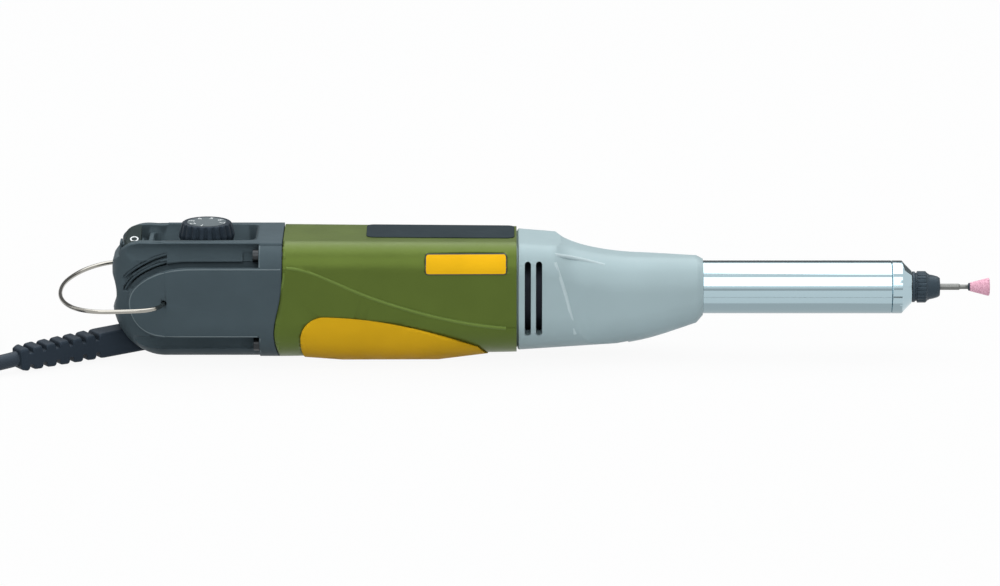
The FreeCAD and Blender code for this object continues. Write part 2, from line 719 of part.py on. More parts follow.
def inlay(edges, x0, x1, set_in, proud, y0, y1):
    """A thin plate that follows the motor housing's surface inside an outline seen from the side."""
    shell = body_solid(x0 - 1, x1 + 1, proud).cut(body_solid(x0 - 2, x1 + 2, -set_in))
    return shell.common(edges).common(box(x0 - 1, x1 + 1, y0, y1, AXIS_Z - REAR_BOTTOM, TOP_Z + 5))


def rounded_block(x0, x1, y0, y1, z0, z1, r, along):
    """A block with the four edges along one axis rounded; along is 0, 1 or 2 for X, Y or Z."""
    block = box(x0, x1, y0, y1, z0, z1)
    chosen = []
    for edge in block.Edges:
        span = edge.Vertexes[1].Point - edge.Vertexes[0].Point
        if abs(span[along]) > 1e-6:
            chosen.append(edge)
    return block.makeFillet(r, chosen)


def rating_plate():
    block = rounded_block(PLATE_X, NOSE_X - PLATE_TO_NOSE, -PLATE_NEAR_Y, PLATE_FAR_Y,
                          AXIS_Z, TOP_Z + 4, PLATE_CORNER_R, 2)
    return inlay(block, PLATE_X, NOSE_X - PLATE_TO_NOSE, PLATE_SET_IN, PLATE_PROUD,
                 -REAR_HALF_W, REAR_HALF_W)


def badge_plate():
    block = rounded_block(BADGE_X, BADGE_X + BADGE_L, -REAR_HALF_W - 3, 0,
                          AXIS_Z + BADGE_LOW_UP, AXIS_Z + BADGE_HIGH_UP, BADGE_CORNER_R, 1)
    return inlay(block, BADGE_X, BADGE_X + BADGE_L, PLATE_SET_IN, PLATE_PROUD, -REAR_HALF_W - 3, 0)


def side_swell():
    """The lower part of the housing, which stands a little proud at its sides below the crease line."""
    def outline(x, proud):
        half_w, top, bottom = body_size(x)
        return section(x, half_w + proud, top, bottom, TOP_CORNER_R, BOTTOM_CORNER_R)
    rear = SEAM_X - SEAM_WAVE - 1
    spans = [outline(rear, CREASE_PROUD_REAR), outline(SEAM_X, CREASE_PROUD_REAR)]
    swell = Part.makeLoft(spans, True, True).fuse(
        Part.makeLoft([spans[-1], outline(NOSE_X, CREASE_PROUD_FRONT)], True, True))
    return swell.common(side_prism(crease_edges(REAR_BOTTOM + 3), REAR_HALF_W + 5))


def motor_housing():
    """The green housing, bored for the motor, with a tongue behind and a groove in front."""
    body = body_solid(SEAM_X - SEAM_WAVE - 1, NOSE_X).fuse(side_swell()).cut(behind_seam(SEAM / 2))
    body = body.fuse(wavy_ring(SEAM / 2 + TONGUE_ROOT, SEAM / 2 + TONGUE_L))
    tools = [grip_pad(), rating_plate(), badge_plate()]
    tools.append(body_ring(NOSE_X - TONGUE_L - SEAM, NOSE_X + 1, SEATED))
    tools.append(rod(CAN_R + SEATED, SEAM_X - 9, NOSE_X + 1))
    for y, up in cover_screw_places():
        tools.append(rod(SCREW_R + SEATED, SEAM_X - 9, COLLAR_X + COVER_SCREW_L + 1, y, up))
    for y, up in nose_screw_places():
        tools.append(rod(NOSE_SCREW_R + SEATED, NOSE_X + NOSE_SCREW_SEAT - NOSE_SCREW_L - 1, NOSE_X + 1,
                         y, up))
    return cut(body, tools)


def trumpet():
    """The hand-hold of the nose: flared at its leaning shoulder, slim above, deeper below."""
    wires = []
    for d, half_w, top, bottom, top_r, bottom_r, lean in SHOULDER_SECTIONS + HOLD_SECTIONS:
        share = d / HOLD_L
        wires.append(section(NOSE_X + share * (NOSE_L - NOSE_END_L), half_w, top, bottom,
                             top_r, bottom_r, -SHOULDER_TILT * lean))
    last = len(SHOULDER_SECTIONS) - 1
    mouth_r = NECK_R + NOSE_MOUTH_WALL
    mouth = section(NECK_X, mouth_r, mouth_r, mouth_r, mouth_r * 0.92, mouth_r * 0.92)
    return fuse([Part.makeLoft(wires[:last + 1], True, False), Part.makeLoft(wires[last:], True, False),
                 Part.makeLoft([wires[-1], mouth], True, True)])


def nose_block():
    """The nose housing's rear form, with a small chamfer at the seam."""
    def outline(x, step):
        return section(x, FRONT_HALF_W - step, FRONT_TOP - step, FRONT_BOTTOM - step,
                       TOP_CORNER_R, BOTTOM_CORNER_R - 1)
    first = outline(NOSE_X + SEAM, NOSE_STEP + NOSE_EDGE)
    full = outline(NOSE_X + SEAM + NOSE_EDGE, NOSE_STEP)
    front = section(NECK_X + 1, FRONT_HALF_W - BLOCK_SIDE_DROP, FRONT_TOP - BLOCK_TOP_DROP,
                    FRONT_BOTTOM - BLOCK_BOTTOM_DROP, TOP_CORNER_R, BOTTOM_CORNER_R - 2)
    return Part.makeLoft([first, full], True, True).fuse(Part.makeLoft([full, front], True, True))


def nose_housing():
    """Block and hand-hold in one, with its tongue, air slots, seats for neck and bearing, and screw holes."""
    block = nose_block()
    split = NOSE_X + BLOCK_L
    rear = block.common(box(NOSE_X, split, -30, 30, 0, TOP_Z + 5))
    front = block.common(trumpet()).common(box(split, NECK_X, -30, 30, 0, TOP_Z + 5))
    body = fuse([rear, front, body_ring(NOSE_X - TONGUE_L, NOSE_X + SEAM + TONGUE_ROOT)])
    tools = [rod(CHAMBER_R, NOSE_X - TONGUE_L - 1, NOSE_X + CHAMBER_L)]
    tools.append(rod(COUPLING_R + 1, NOSE_X + 1, SPINDLE_BEARING_X))
    tools.append(rod(SPINDLE_BEARING_R + SEATED, SPINDLE_BEARING_X, NECK_BACK_X))
    tools.append(rod(NECK_SEAT_R + SEATED, NECK_BACK_X, NECK_X + 1))
    for i in range(2):
        x0 = NOSE_X + SLOT_FROM_SEAM + SLOT_PITCH * i
        tools.append(rounded_block(x0, x0 + SLOT_W, -REAR_HALF_W, REAR_HALF_W, AXIS_Z - SLOT_DOWN,
                                   AXIS_Z + SLOT_UP, SLOT_W * 0.49, 1))
    seat = NOSE_X + NOSE_SCREW_SEAT
    for y, up in nose_screw_places():
        tools.append(rod(NOSE_POCKET_R, seat, seat + NOSE_POCKET_L, y, up))
        tools.append(rod(NOSE_SCREW_R + SEATED, NOSE_X - TONGUE_L - 1, seat + 1, y, up))
    return cut(body, tools)


def screws(places, x, way, length, shank_r, head_r):
    group = [screw(x, y, up, way, length, shank_r, head_r) for y, up in places]
    return Part.makeCompound(group)


def motor_can():
    return sleeve(CAN_R, CAN_R - CAN_WALL, CAN_X, CAN_X + CAN_L)


def field_magnets():
    """Two curved magnets inside the can, above and below the armature."""
    r = CAN_R - CAN_WALL
    x0 = CAN_X + (CAN_L - MAGNET_L) / 2 + MAGNET_SHIFT
    ring = sleeve(r, r - MAGNET_T, x0, x0 + MAGNET_L)
    gap_half = r * math.cos(math.radians(MAGNET_HALF_ANGLE))
    between = box(x0, x0 + MAGNET_L, -r, r, AXIS_Z - gap_half, AXIS_Z + gap_half)
    return ring.cut(between)


def end_shield(x0, x1, bearing_x):
    """A motor end shield with a seat for its bearing and four windows for the cooling air."""
    body = rod(CAN_R, x0, x1)
    body = body.cut(rod(MOTOR_BEARING_R + SEATED, bearing_x, bearing_x + MOTOR_BEARING_L))
    body = body.cut(rod(SHAFT_R + 1.5, x0 - 1, x1 + 1))
    window = rod(WINDOW_R, x0 - 1, x1 + 1, 0, MOTOR_BEARING_R + WINDOW_R + 1.4)
    return cut(body, around_spindle(window, 6, 30))


def ball_bearing(r_out, r_in, x0, length):
    """A shielded bearing: two rings with a shallow groove between them on each face."""
    ring = sleeve(r_out, r_in + RUNNING, x0, x0 + length)
    mid = (r_out + r_in) / 2
    groove_half = (r_out - r_in) * 0.2
    depth = length * 0.08
    for x in (x0, x0 + length - depth):
        ring = ring.cut(sleeve(mid + groove_half, mid - groove_half, x, x + depth))
    return ring


def brush_parts():
    """Holder boxes, carbon brushes and leaf springs, one set each side of the commutator."""
    holders, brushes, springs = [], [], []
    x0 = COMMUTATOR_X + (COMMUTATOR_L - BRUSH_W) / 2
    tip = COMMUTATOR_R + CLEAR
    tail = tip + BRUSH_L
    outer = CAN_R - CAN_WALL - SEATED * 2
    w, t = BRUSH_W, BRUSH_T / 2
    for side in (-1, 1):
        def slab(xa, xb, ya, yb, half_t):
            low, high = sorted((side * ya, side * yb))
            return box(xa, xb, low, high, AXIS_Z - half_t, AXIS_Z + half_t)
        brush = slab(x0, x0 + w, tip, tail, t)
        wall = slab(CAN_X, x0 + w + HOLDER_WALL, tip + 1.2, outer - 1.6, t + HOLDER_WALL)
        slot = slab(x0 - SEATED, x0 + w + SEATED, 0, CAN_R, t + SEATED)
        holders.append(wall.cut(slot))
        brushes.append(brush)
        springs.append(slab(x0 + 1, x0 + w - 1, tail, tail + SPRING_T, t - 0.4))
    return Part.makeCompound(holders), Part.makeCompound(brushes), Part.makeCompound(springs)


def armature_core():
    core = rod(ARMATURE_R, ARMATURE_X, ARMATURE_X + CORE_L)
    core = core.cut(rod(SHAFT_R, ARMATURE_X, ARMATURE_X + CORE_L))
    half = CORE_SLOT_W / 2
    slot = box(ARMATURE_X - 1, ARMATURE_X + CORE_L + 1, -half, half,
               AXIS_Z + ARMATURE_R - CORE_SLOT_DEPTH, AXIS_Z + ARMATURE_R + 1)
    return cut(core, around_spindle(slot, CORE_SLOTS))


def armature_windings():
    """Wire in the core's slots, joined by a rounded bundle at each end."""
    half = CORE_SLOT_W / 2 - SEATED
    inner = ARMATURE_R - CORE_SLOT_DEPTH + SEATED
    outer = ARMATURE_R - 0.9
    x0, x1 = ARMATURE_X, ARMATURE_X + CORE_L
    bar = box(x0 - 1, x1 + 1, -half, half, AXIS_Z + inner, AXIS_Z + outer)
    hub = SHAFT_R + 0.4
    pieces = around_spindle(bar, CORE_SLOTS)
    for x, way in ((x0 - SEATED, -1), (x1 + SEATED, 1)):
        tip = x + way * WINDING_L
        pieces.append(turned([(x, hub), (x, outer), (x + way * 0.5 * WINDING_L, outer),
                              (tip, outer - 3), (tip, hub + 1.5)]))
    return fuse(pieces)


def commutator():
    """A copper drum with its bars parted by narrow grooves."""
    x1 = COMMUTATOR_X + COMMUTATOR_L
    drum = sleeve(COMMUTATOR_R, SHAFT_R, COMMUTATOR_X, x1)
    groove = box(COMMUTATOR_X - 1, x1 + 1, -0.2, 0.2, AXIS_Z + COMMUTATOR_R - 0.8, AXIS_Z + COMMUTATOR_R + 1)
    return cut(drum, around_spindle(groove, COMMUTATOR_BARS))


def motor_shaft():
    return rod(SHAFT_R, SHAFT_REAR_X, COUPLING_X + COUPLING_L / 2)


def cooling_fan():
    """A radial fan: hub, back plate and straight blades."""
    x1 = FAN_X + FAN_L
    hub = rod(FAN_HUB_R, FAN_X, x1)
    plate = rod(FAN_R, FAN_X, FAN_X + FAN_BACK_T)
    half = FAN_BLADE_T / 2
    blade = box(FAN_X + FAN_BACK_T / 2, x1, -half, half, AXIS_Z + FAN_HUB_R - 1, AXIS_Z + FAN_R - 0.4)
    body = fuse([hub, plate] + around_spindle(blade, FAN_BLADES))
    return body.cut(rod(SHAFT_R, FAN_X - 1, x1 + 1))


def shaft_coupling():
    """A sleeve with a waist, bored for the motor shaft behind and the spindle in front."""
    x0, mid, x1 = COUPLING_X, COUPLING_X + COUPLING_L / 2, COUPLING_X + COUPLING_L
    edge = 0.8
    body = turned([(x0, 0), (x0, COUPLING_R - edge), (x0 + edge, COUPLING_R), (mid - 1.5, COUPLING_R),
                   (mid - 0.8, COUPLING_R - 1.2), (mid + 0.8, COUPLING_R - 1.2), (mid + 1.5, COUPLING_R),
                   (x1 - edge, COUPLING_R), (x1, COUPLING_R - edge), (x1, 0)])
    return cut(body, [rod(SHAFT_R, x0 - 1, mid), rod(SPINDLE_R, mid, x1 + 1)])


def spindle():
    """The long spindle, with a slimmer threaded nose and a seat for the collet."""
    nose_r = SPINDLE_R - 0.3
    x0 = COUPLING_X + COUPLING_L / 2
    shoulder = NUT_X - 0.4
    body = turned([(x0, 0), (x0, SPINDLE_R), (shoulder, SPINDLE_R), (shoulder, nose_r),
                   (SPINDLE_END_X, nose_r), (SPINDLE_END_X, 0)])
    seat = rod(COLLET_R, COLLET_X, SPINDLE_END_X + 1)
    bore = rod(BIT_SHANK_R + CLEAR, BIT_END_X - 2, COLLET_X + 1)
    return cut(body, [seat, bore])


def collet():
    """A split collet with a tapered head."""
    x1 = COLLET_X + COLLET_L
    head = SPINDLE_END_X + 0.2
    body = turned([(COLLET_X, 0), (COLLET_X, COLLET_R), (head, COLLET_R), (x1, COLLET_R - 1), (x1, 0)])
    body = body.cut(rod(BIT_SHANK_R + RUNNING, COLLET_X - 1, x1 + 1))
    slit = box(COLLET_X + 3, x1 + 1, -0.2, 0.2, AXIS_Z, AXIS_Z + COLLET_R + 1)
    return cut(body, around_spindle(slit, 3, 30))


def collet_nut():
    """The nut: a rear ring, a groove, a fluted grip and a taper with flats."""
    x0, x1 = NUT_X, NUT_X + NUT_L
    body = turned([(x0, 0), (x0, NUT_R - 0.15), (x0 + 0.09 * NUT_L, NUT_R - 0.15),
                   (x0 + 0.11 * NUT_L, NUT_R - 0.6), (x0 + 0.17 * NUT_L, NUT_R - 0.6),
                   (x0 + 0.18 * NUT_L, NUT_R), (x0 + 0.48 * NUT_L, NUT_R), (x0 + 0.56 * NUT_L, NUT_R - 0.85),
                   (x0 + 0.93 * NUT_L, NUT_TIP_R), (x1, NUT_TIP_R - 0.5), (x1, 0)])
    flute = rod(NUT_FLUTE_R, x0 + 0.18 * NUT_L, x0 + 0.49 * NUT_L, 0, NUT_R + 0.1)
    flat = box(x0 + 0.6 * NUT_L, x1 + 1, -NUT_R, NUT_R, AXIS_Z + NUT_TIP_R + 0.3, AXIS_Z + NUT_R + 1)
    body = cut(body, around_spindle(flute, NUT_FLUTES) + around_spindle(flat, 2))
    room = turned([(x0 - 1, 0), (x0 - 1, NUT_ROOM_R), (SPINDLE_END_X + CLEAR, NUT_ROOM_R),
                   (COLLET_X + COLLET_L + CLEAR, COLLET_R - 0.5), (COLLET_X + COLLET_L + CLEAR, 0)])
    return cut(body, [room, rod(BIT_SHANK_R + CLEAR, x0, x1 + 1)])


def bit_shank():
    """The tool's steel shank, slimmer near its end, with a collar against the stone."""
    slim_x = STONE_X - SHANK_SLIM_L
    collar_x = STONE_X - SHANK_COLLAR_L
    return turned([(BIT_END_X, 0), (BIT_END_X, BIT_SHANK_R), (slim_x, BIT_SHANK_R),
                   (slim_x + 0.6, SHANK_SLIM_R), (collar_x, SHANK_SLIM_R), (collar_x + 0.3, SHANK_COLLAR_R),
                   (STONE_X, SHANK_COLLAR_R), (STONE_X, 0)])


def mounted_stone():
    """The conical stone, widest at its nearly flat front."""
    return turned([(STONE_X, 0), (STONE_X, STONE_REAR_R), (TIP_X - 0.5, STONE_FRONT_R),
                   (TIP_X - 0.2, STONE_FRONT_R - 0.1), (TIP_X, STONE_FRONT_R - 0.6), (TIP_X, 0)])


def neck_tube():
    """The clamping neck, with a slightly slimmer end seated in the nose housing."""
    return sleeve(NECK_R, NECK_BORE_R, NECK_X, RING_X).fuse(
        sleeve(NECK_SEAT_R, NECK_BORE_R, NECK_BACK_X, NECK_X))


def neck_end_ring():
    """The ring that closes the neck, with a fine groove where it meets the tube."""
    inner, outer = SPINDLE_R + 0.6, NECK_R
    return turned([(RING_X, inner), (RING_X, outer - 0.5), (RING_X + 0.4, outer), (TAPER_X, outer),
                   (NUT_X - CLEAR, END_TAPER_R), (NUT_X - CLEAR, inner)])


def upright(r, z0, z1, x, y=0.0):
    return Part.makeCylinder(r, z1 - z0, V(x, y, z0))


def dial_knob():
    """A knob with grip flutes, a flare at its foot and a stem down into the potentiometer."""
    foot, top = RECESS_Z + 0.6, TOP_Z + DIAL_RISE
    body = upright(DIAL_R, foot, top, DIAL_X)
    rim = [e for e in body.Edges if e.Length > DIAL_R and abs(e.BoundBox.ZMin - top) < 1e-6]
    body = body.makeFillet(DIAL_EDGE_R, rim)
    flutes = []
    for i in range(DIAL_FLUTES):
        a = 2 * math.pi * i / DIAL_FLUTES
        flutes.append(upright(FLUTE_R, foot + 1.6, top - 0.9, DIAL_X + (DIAL_R + 0.3) * math.cos(a),
                              (DIAL_R + 0.3) * math.sin(a)))
    body = cut(body, flutes)
    skirt = Part.makeCone(DIAL_R + DIAL_FLARE, DIAL_R, 1.4, V(DIAL_X, 0, foot))
    stem = upright(DIAL_SHAFT_R - RUNNING, POT_TOP_Z - POT_H + 1, foot + 1, DIAL_X)
    return fuse([body, skirt, stem]).cut(upright(SCALE_R + SEATED, top - SCALE_T, top + 1, DIAL_X))


def dial_scale():
    """The scale disc, let into the knob's top."""
    top = TOP_Z + DIAL_RISE
    return upright(SCALE_R, top - SCALE_T, top, DIAL_X)


def potentiometer():
    half = POT_SIDE / 2
    body = rounded_block(DIAL_X - half, DIAL_X + half, -half, half, POT_TOP_Z - POT_H, POT_TOP_Z, 1.5, 2)
    collar = upright(DIAL_SHAFT_R + 1.6, POT_TOP_Z, RECESS_Z - WALL - 0.2, DIAL_X)
    return body.fuse(collar).cut(upright(DIAL_SHAFT_R, POT_TOP_Z - POT_H + 0.6, RECESS_Z, DIAL_X))


def circuit_board():
    """The speed control board, carried on both sides of the cover's room."""
    half_w = CORE_HALF_W - WALL - SEATED
    top = POT_TOP_Z - POT_H
    board = box(REAR_X + BOARD_FROM_REAR, COLLAR_X + BOARD_PAST_COLLAR, -half_w, half_w, top - BOARD_T, top)
    low = top - BOARD_T
    chip = box(BOARD_CHIP_X, BOARD_CHIP_X + 9, -7, -1, low - 3, low)
    capacitor = upright(3.5, low - 8, low, BOARD_CHIP_X + 18, 5)
    sink = box(BOARD_CHIP_X, BOARD_CHIP_X + 12, 3, 6, low - 7, low)
    return fuse([board, chip, capacitor, sink])


def switch_body():
    """The rocker's housing in its pocket, with an end plate each side that holds the pivot pin."""
    x0, x1 = SWITCH_X + SEATED, SWITCH_X + SWITCH_L - SWITCH_GAP_L
    w = SWITCH_HALF_W - SEATED
    base = box(x0, x1, -w + 1, w - 1, ROCKER_Z - SWITCH_BODY_H, ROCKER_Z - ROCKER_DEPTH)
    ear_h = ROCKER_Z + 1.8
    ears = [box(x, x + EAR_T, -3.5, 3.5, ROCKER_Z - ROCKER_DEPTH, ear_h) for x in (x0, x1 - EAR_T)]
    pin = Part.makeCylinder(ROCKER_PIN_R, x1 - x0, V(x0, 0, ROCKER_Z), V(1, 0, 0))
    return fuse([base] + ears + [pin])


def switch_rocker():
    """The rocker, rounded like the cover's rear corner, drawn level and then tilted to its off side."""
    x0 = SWITCH_X + SEATED + EAR_T + CLEAR
    x1 = SWITCH_X + SWITCH_L - SWITCH_GAP_L - EAR_T - CLEAR
    w, high = ROCKER_HALF_W, TOP_Z - ROCKER_END_DOWN
    deep = ROCKER_Z - ROCKER_DEPTH + 2.2
    corners = [V(x0, -w, high), V(x0, 0, high - ROCKER_VEE), V(x0, w, high), V(x0, w, ROCKER_Z + 1.5),
               V(x0, 2.4, deep), V(x0, -2.4, deep), V(x0, -w, ROCKER_Z + 1.5)]
    block = Part.Face(Part.makePolygon(corners + corners[:1])).extrude(V(x1 - x0, 0, 0))
    crown_r = ROCKER_CROWN_R
    crown_x, crown_z = x0 + crown_r, high - crown_r
    dome = Part.makeCylinder(crown_r, 4 * w, V(crown_x, -2 * w, crown_z), V(0, 1, 0))
    keep = dome.fuse(box(crown_x, x1 + 1, -2 * w, 2 * w, 0, TOP_Z + 5))
    keep = keep.fuse(box(REAR_X, x1 + 1, -2 * w, 2 * w, 0, crown_z))
    rocker = block.common(keep)
    rocker = rocker.cut(Part.makeCylinder(ROCKER_PIN_R + RUNNING, 40, V(x0 - 5, 0, ROCKER_Z), V(1, 0, 0)))
    rocker.rotate(V(0, 0, ROCKER_Z), V(1, 0, 0), ROCKER_TILT)
    return rocker


def bail_wire():
    """The bail: a flat loop behind the tool whose ends turn inward into the cover's sides."""
    r, w = BAIL_WIRE_R, BAIL_HALF_W
    tip = REAR_X - BAIL_OVERHANG + r
    lean = math.asin((w - BAIL_SIDE_R) / (BAIL_TIP_R - BAIL_SIDE_R))
    tip_x = tip + BAIL_TIP_R * (1 - math.cos(lean))
    tip_y = BAIL_TIP_R * math.sin(lean)
    side_x = tip_x + BAIL_SIDE_R * math.cos(lean)
    root_x = BAIL_X - BAIL_ROOT_R
    root_y = w - BAIL_ROOT_R
    end_y = REAR_HALF_W - BAIL_IN_HOLE

    def arc(cx, cy, radius, a, b):
        points = []
        for t in (a, (a + b) / 2, b):
            points.append(V(cx + radius * math.cos(t), cy + radius * math.sin(t), BAIL_Z))
        return Part.Arc(*points).toShape()
    edges = []
    for side in (-1, 1):
        edges.append(Part.makeLine(V(BAIL_X, side * end_y, BAIL_Z), V(BAIL_X, side * root_y, BAIL_Z)))
        edges.append(arc(root_x, side * root_y, BAIL_ROOT_R, 0, side * math.pi / 2))
        edges.append(Part.makeLine(V(root_x, side * w, BAIL_Z), V(side_x, side * w, BAIL_Z)))
        side_cy = side * (w - BAIL_SIDE_R)
        edges.append(arc(side_x, side_cy, BAIL_SIDE_R, side * math.pi / 2, side * (math.pi - lean)))
    edges.append(Part.Arc(V(tip_x, tip_y, BAIL_Z), V(tip, 0, BAIL_Z), V(tip_x, -tip_y, BAIL_Z)).toShape())
    path = Part.Wire(Part.__sortEdges__(edges))
    start = path.Edges[0].valueAt(path.Edges[0].FirstParameter)
    near_end = V(BAIL_X, -end_y, BAIL_Z)
    ring_at = near_end if (start - near_end).Length < 1 else V(BAIL_X, end_y, BAIL_Z)
    ring = Part.Wire(Part.makeCircle(r, ring_at, V(0, 1, 0)))
    return path.makePipeShell([ring], True, True)


def boot_square(x, half):
    wire = section(x, half, half, half, half * 0.5, half * 0.5)
    wire.translate(V(0, 0, -AXIS_Z))
    return wire


def boot_bar(half_in, half_out, x_in, x_out):
    """A rounded square bar along X, from inside the cover to outside it."""
    return Part.makeLoft([boot_square(x_in, half_in), boot_square(x_out, half_out)], True, True)


def boot_hole():
    """The opening in the cover's lower rear corner, and the narrower way in for the boot's root."""
    wide = boot_bar(BOOT_HALF + SEATED, BOOT_HALF + SEATED, BOOT_SHOULDER_IN + SEATED, -14)
    narrow = boot_bar(BOOT_ROOT_HALF + SEATED, BOOT_ROOT_HALF + SEATED, BOOT_ROOT_L + 3, 0)
    return boot_placed(wide.fuse(narrow))


def cord_boot():
    """The strain relief: a slim root, a plain stretch, then notches that leave a web between them."""
    taper_x = -BOOT_FIRST_NOTCH + BOOT_PITCH / 2
    root = boot_bar(BOOT_ROOT_HALF, BOOT_ROOT_HALF, BOOT_ROOT_L, BOOT_SHOULDER_IN - 0.5)
    plain = boot_bar(BOOT_HALF, BOOT_HALF, BOOT_SHOULDER_IN, taper_x)
    notched = boot_bar(BOOT_HALF, BOOT_TIP_HALF, taper_x, -BOOT_OUT_L)
    notches = []
    reach = BOOT_HALF + 1
    for i in range(BOOT_NOTCHES):
        x = -(BOOT_FIRST_NOTCH + BOOT_PITCH * i)
        for low, high in ((BOOT_WEB_HALF, reach), (-reach, -BOOT_WEB_HALF)):
            notches.append(box(x - BOOT_NOTCH_W / 2, x + BOOT_NOTCH_W / 2, -reach, reach, low, high))
    return boot_placed(cut(fuse([root, plain, notched]), notches))


def cord_clamp():
    """A bar that grips the cord inside the cover, against the end of the boot's root."""
    x0 = BOOT_ROOT_L
    w, low, high = CLAMP_HALF_W, -CLAMP_BELOW, CLAMP_ABOVE
    bar = rounded_block(x0, x0 + CLAMP_L, -w, w, low, high, 1.0, 0)
    heads = [Part.makeCylinder(1.3, 1.0, V(x0 + CLAMP_L / 2, y, high)) for y in (1.6 - w, w - 1.6)]
    return boot_placed(fuse([bar] + heads))


def tube_along(points, r):
    """A tube on straight runs joined by tangent arcs, each as large as its two runs allow."""
    edges = []
    last = points[0]
    for before, at, after in zip(points, points[1:], points[2:]):
        back = before - at
        ahead = after - at
        reach = 0.45 * min(back.Length, ahead.Length)
        back.normalize()
        ahead.normalize()
        half_turn = (math.pi - back.getAngle(ahead)) / 2
        radius = reach / math.tan(half_turn)
        inward = back + ahead
        inward.normalize()
        middle = at + inward * (radius / math.cos(half_turn) - radius)
        start, end = at + back * reach, at + ahead * reach
        edges.append(Part.makeLine(last, start))
        edges.append(Part.Arc(start, middle, end).toShape())
        print("cord arc: radius %.1f mm, turn %.0f degrees" % (radius, math.degrees(2 * half_turn)))
        last = end
    edges.append(Part.makeLine(last, points[-1]))
    path = Part.Wire(edges)
    ring = Part.Wire(Part.makeCircle(r, points[0], points[1] - points[0]))
    tube = path.makePipeShell([ring], True, True)
    print("cord tube: volume / (section x length) = %.4f, length %.1f mm"
          % (tube.Volume / (math.pi * r * r * path.Length), path.Length))
    return tube


def cord_coil():
    """The outer shape of the neat coil that holds the rest of the cord."""
    half = COIL_TURNS_WIDE * CORD_D / 2
    r0, r1, top = COIL_MEAN_R - half, COIL_MEAN_R + half, COIL_TURNS_HIGH * CORD_D
    edge = CORD_D / 3
    corners = [V(r0 + edge, 0, 0), V(r1 - edge, 0, 0), V(r1, 0, edge), V(r1, 0, top - edge),
               V(r1 - edge, 0, top), V(r0 + edge, 0, top), V(r0, 0, top - edge), V(r0, 0, edge)]
    face = Part.Face(Part.makePolygon(corners + corners[:1]))
    ring = face.revolve(V(0, 0, 0), V(0, 0, 1), 360)
    ring.translate(V(COIL_X, COIL_Y, 0))
    return ring


def cord_lead():
    """The stretch from the boot to the coil, lying on the surface."""
    tip = boot_placed(Part.Vertex(-BOOT_OUT_L, 0, 0)).Point
    points = [tip] + [V(*p) for p in LEAD_POINTS]
    return tube_along(points, CORD_D / 2).cut(cord_coil()).cut(cord_boot())


def plug_lead():
    """The last stretch, which climbs from the coil's top turn onto the coil and into the plug."""
    points = [V(COIL_X + dx, COIL_Y + dy, z) for dx, dy, z in PLUG_LEAD_POINTS]
    return tube_along(points, CORD_D / 2).cut(cord_coil()).cut(plug_body())


def plug_placed(shape):
    """Puts a shape built along +X from the plug's tail onto the coil."""
    dx, dy, z = PLUG_LEAD_POINTS[-1]
    shape = shape.copy()
    shape.rotate(V(0, 0, 0), V(0, 0, 1), PLUG_HEADING)
    shape.translate(V(COIL_X + dx, COIL_Y + dy, z))
    return shape


def plug_section(x, half_w, half_h, r):
    wire = section(x, half_w, half_h, half_h, r, r)
    wire.translate(V(0, 0, -AXIS_Z))
    return wire


def plug_body():
    """A flat two-pin plug, slim at the cord and widening to its face."""
    h = PLUG_T / 2
    tail = Part.makeLoft([plug_section(0, 4.2, 4.2, 2.0), plug_section(0.3 * PLUG_L, 6.0, 5.2, 2.4),
                          plug_section(0.62 * PLUG_L, 0.85 * PLUG_HALF_W, h, 3.0)], True, True)
    front = Part.makeLoft([plug_section(0.62 * PLUG_L, 0.85 * PLUG_HALF_W, h, 3.0),
                           plug_section(PLUG_L, PLUG_HALF_W, h, 3.0)], True, True)
    body = tail.fuse(front)
    for side in (-1, 1):
        y = side * PIN_SPACING / 2
        body = body.cut(Part.makeCylinder(PIN_R, 6, V(PLUG_L - 6, y, 0), V(1, 0, 0)))
    return plug_placed(body)


def plug_pins():
    pins = []
    for side in (-1, 1):
        y = side * PIN_SPACING / 2
        pin = Part.makeCylinder(PIN_R, PIN_L + 6, V(PLUG_L - 6, y, 0), V(1, 0, 0))
        tip = [e for e in pin.Edges if abs(e.BoundBox.XMin - PLUG_L - PIN_L) < 1e-6]
        pins.append(pin.makeFillet(PIN_R * 0.6, tip))
    return plug_placed(Part.makeCompound(pins))


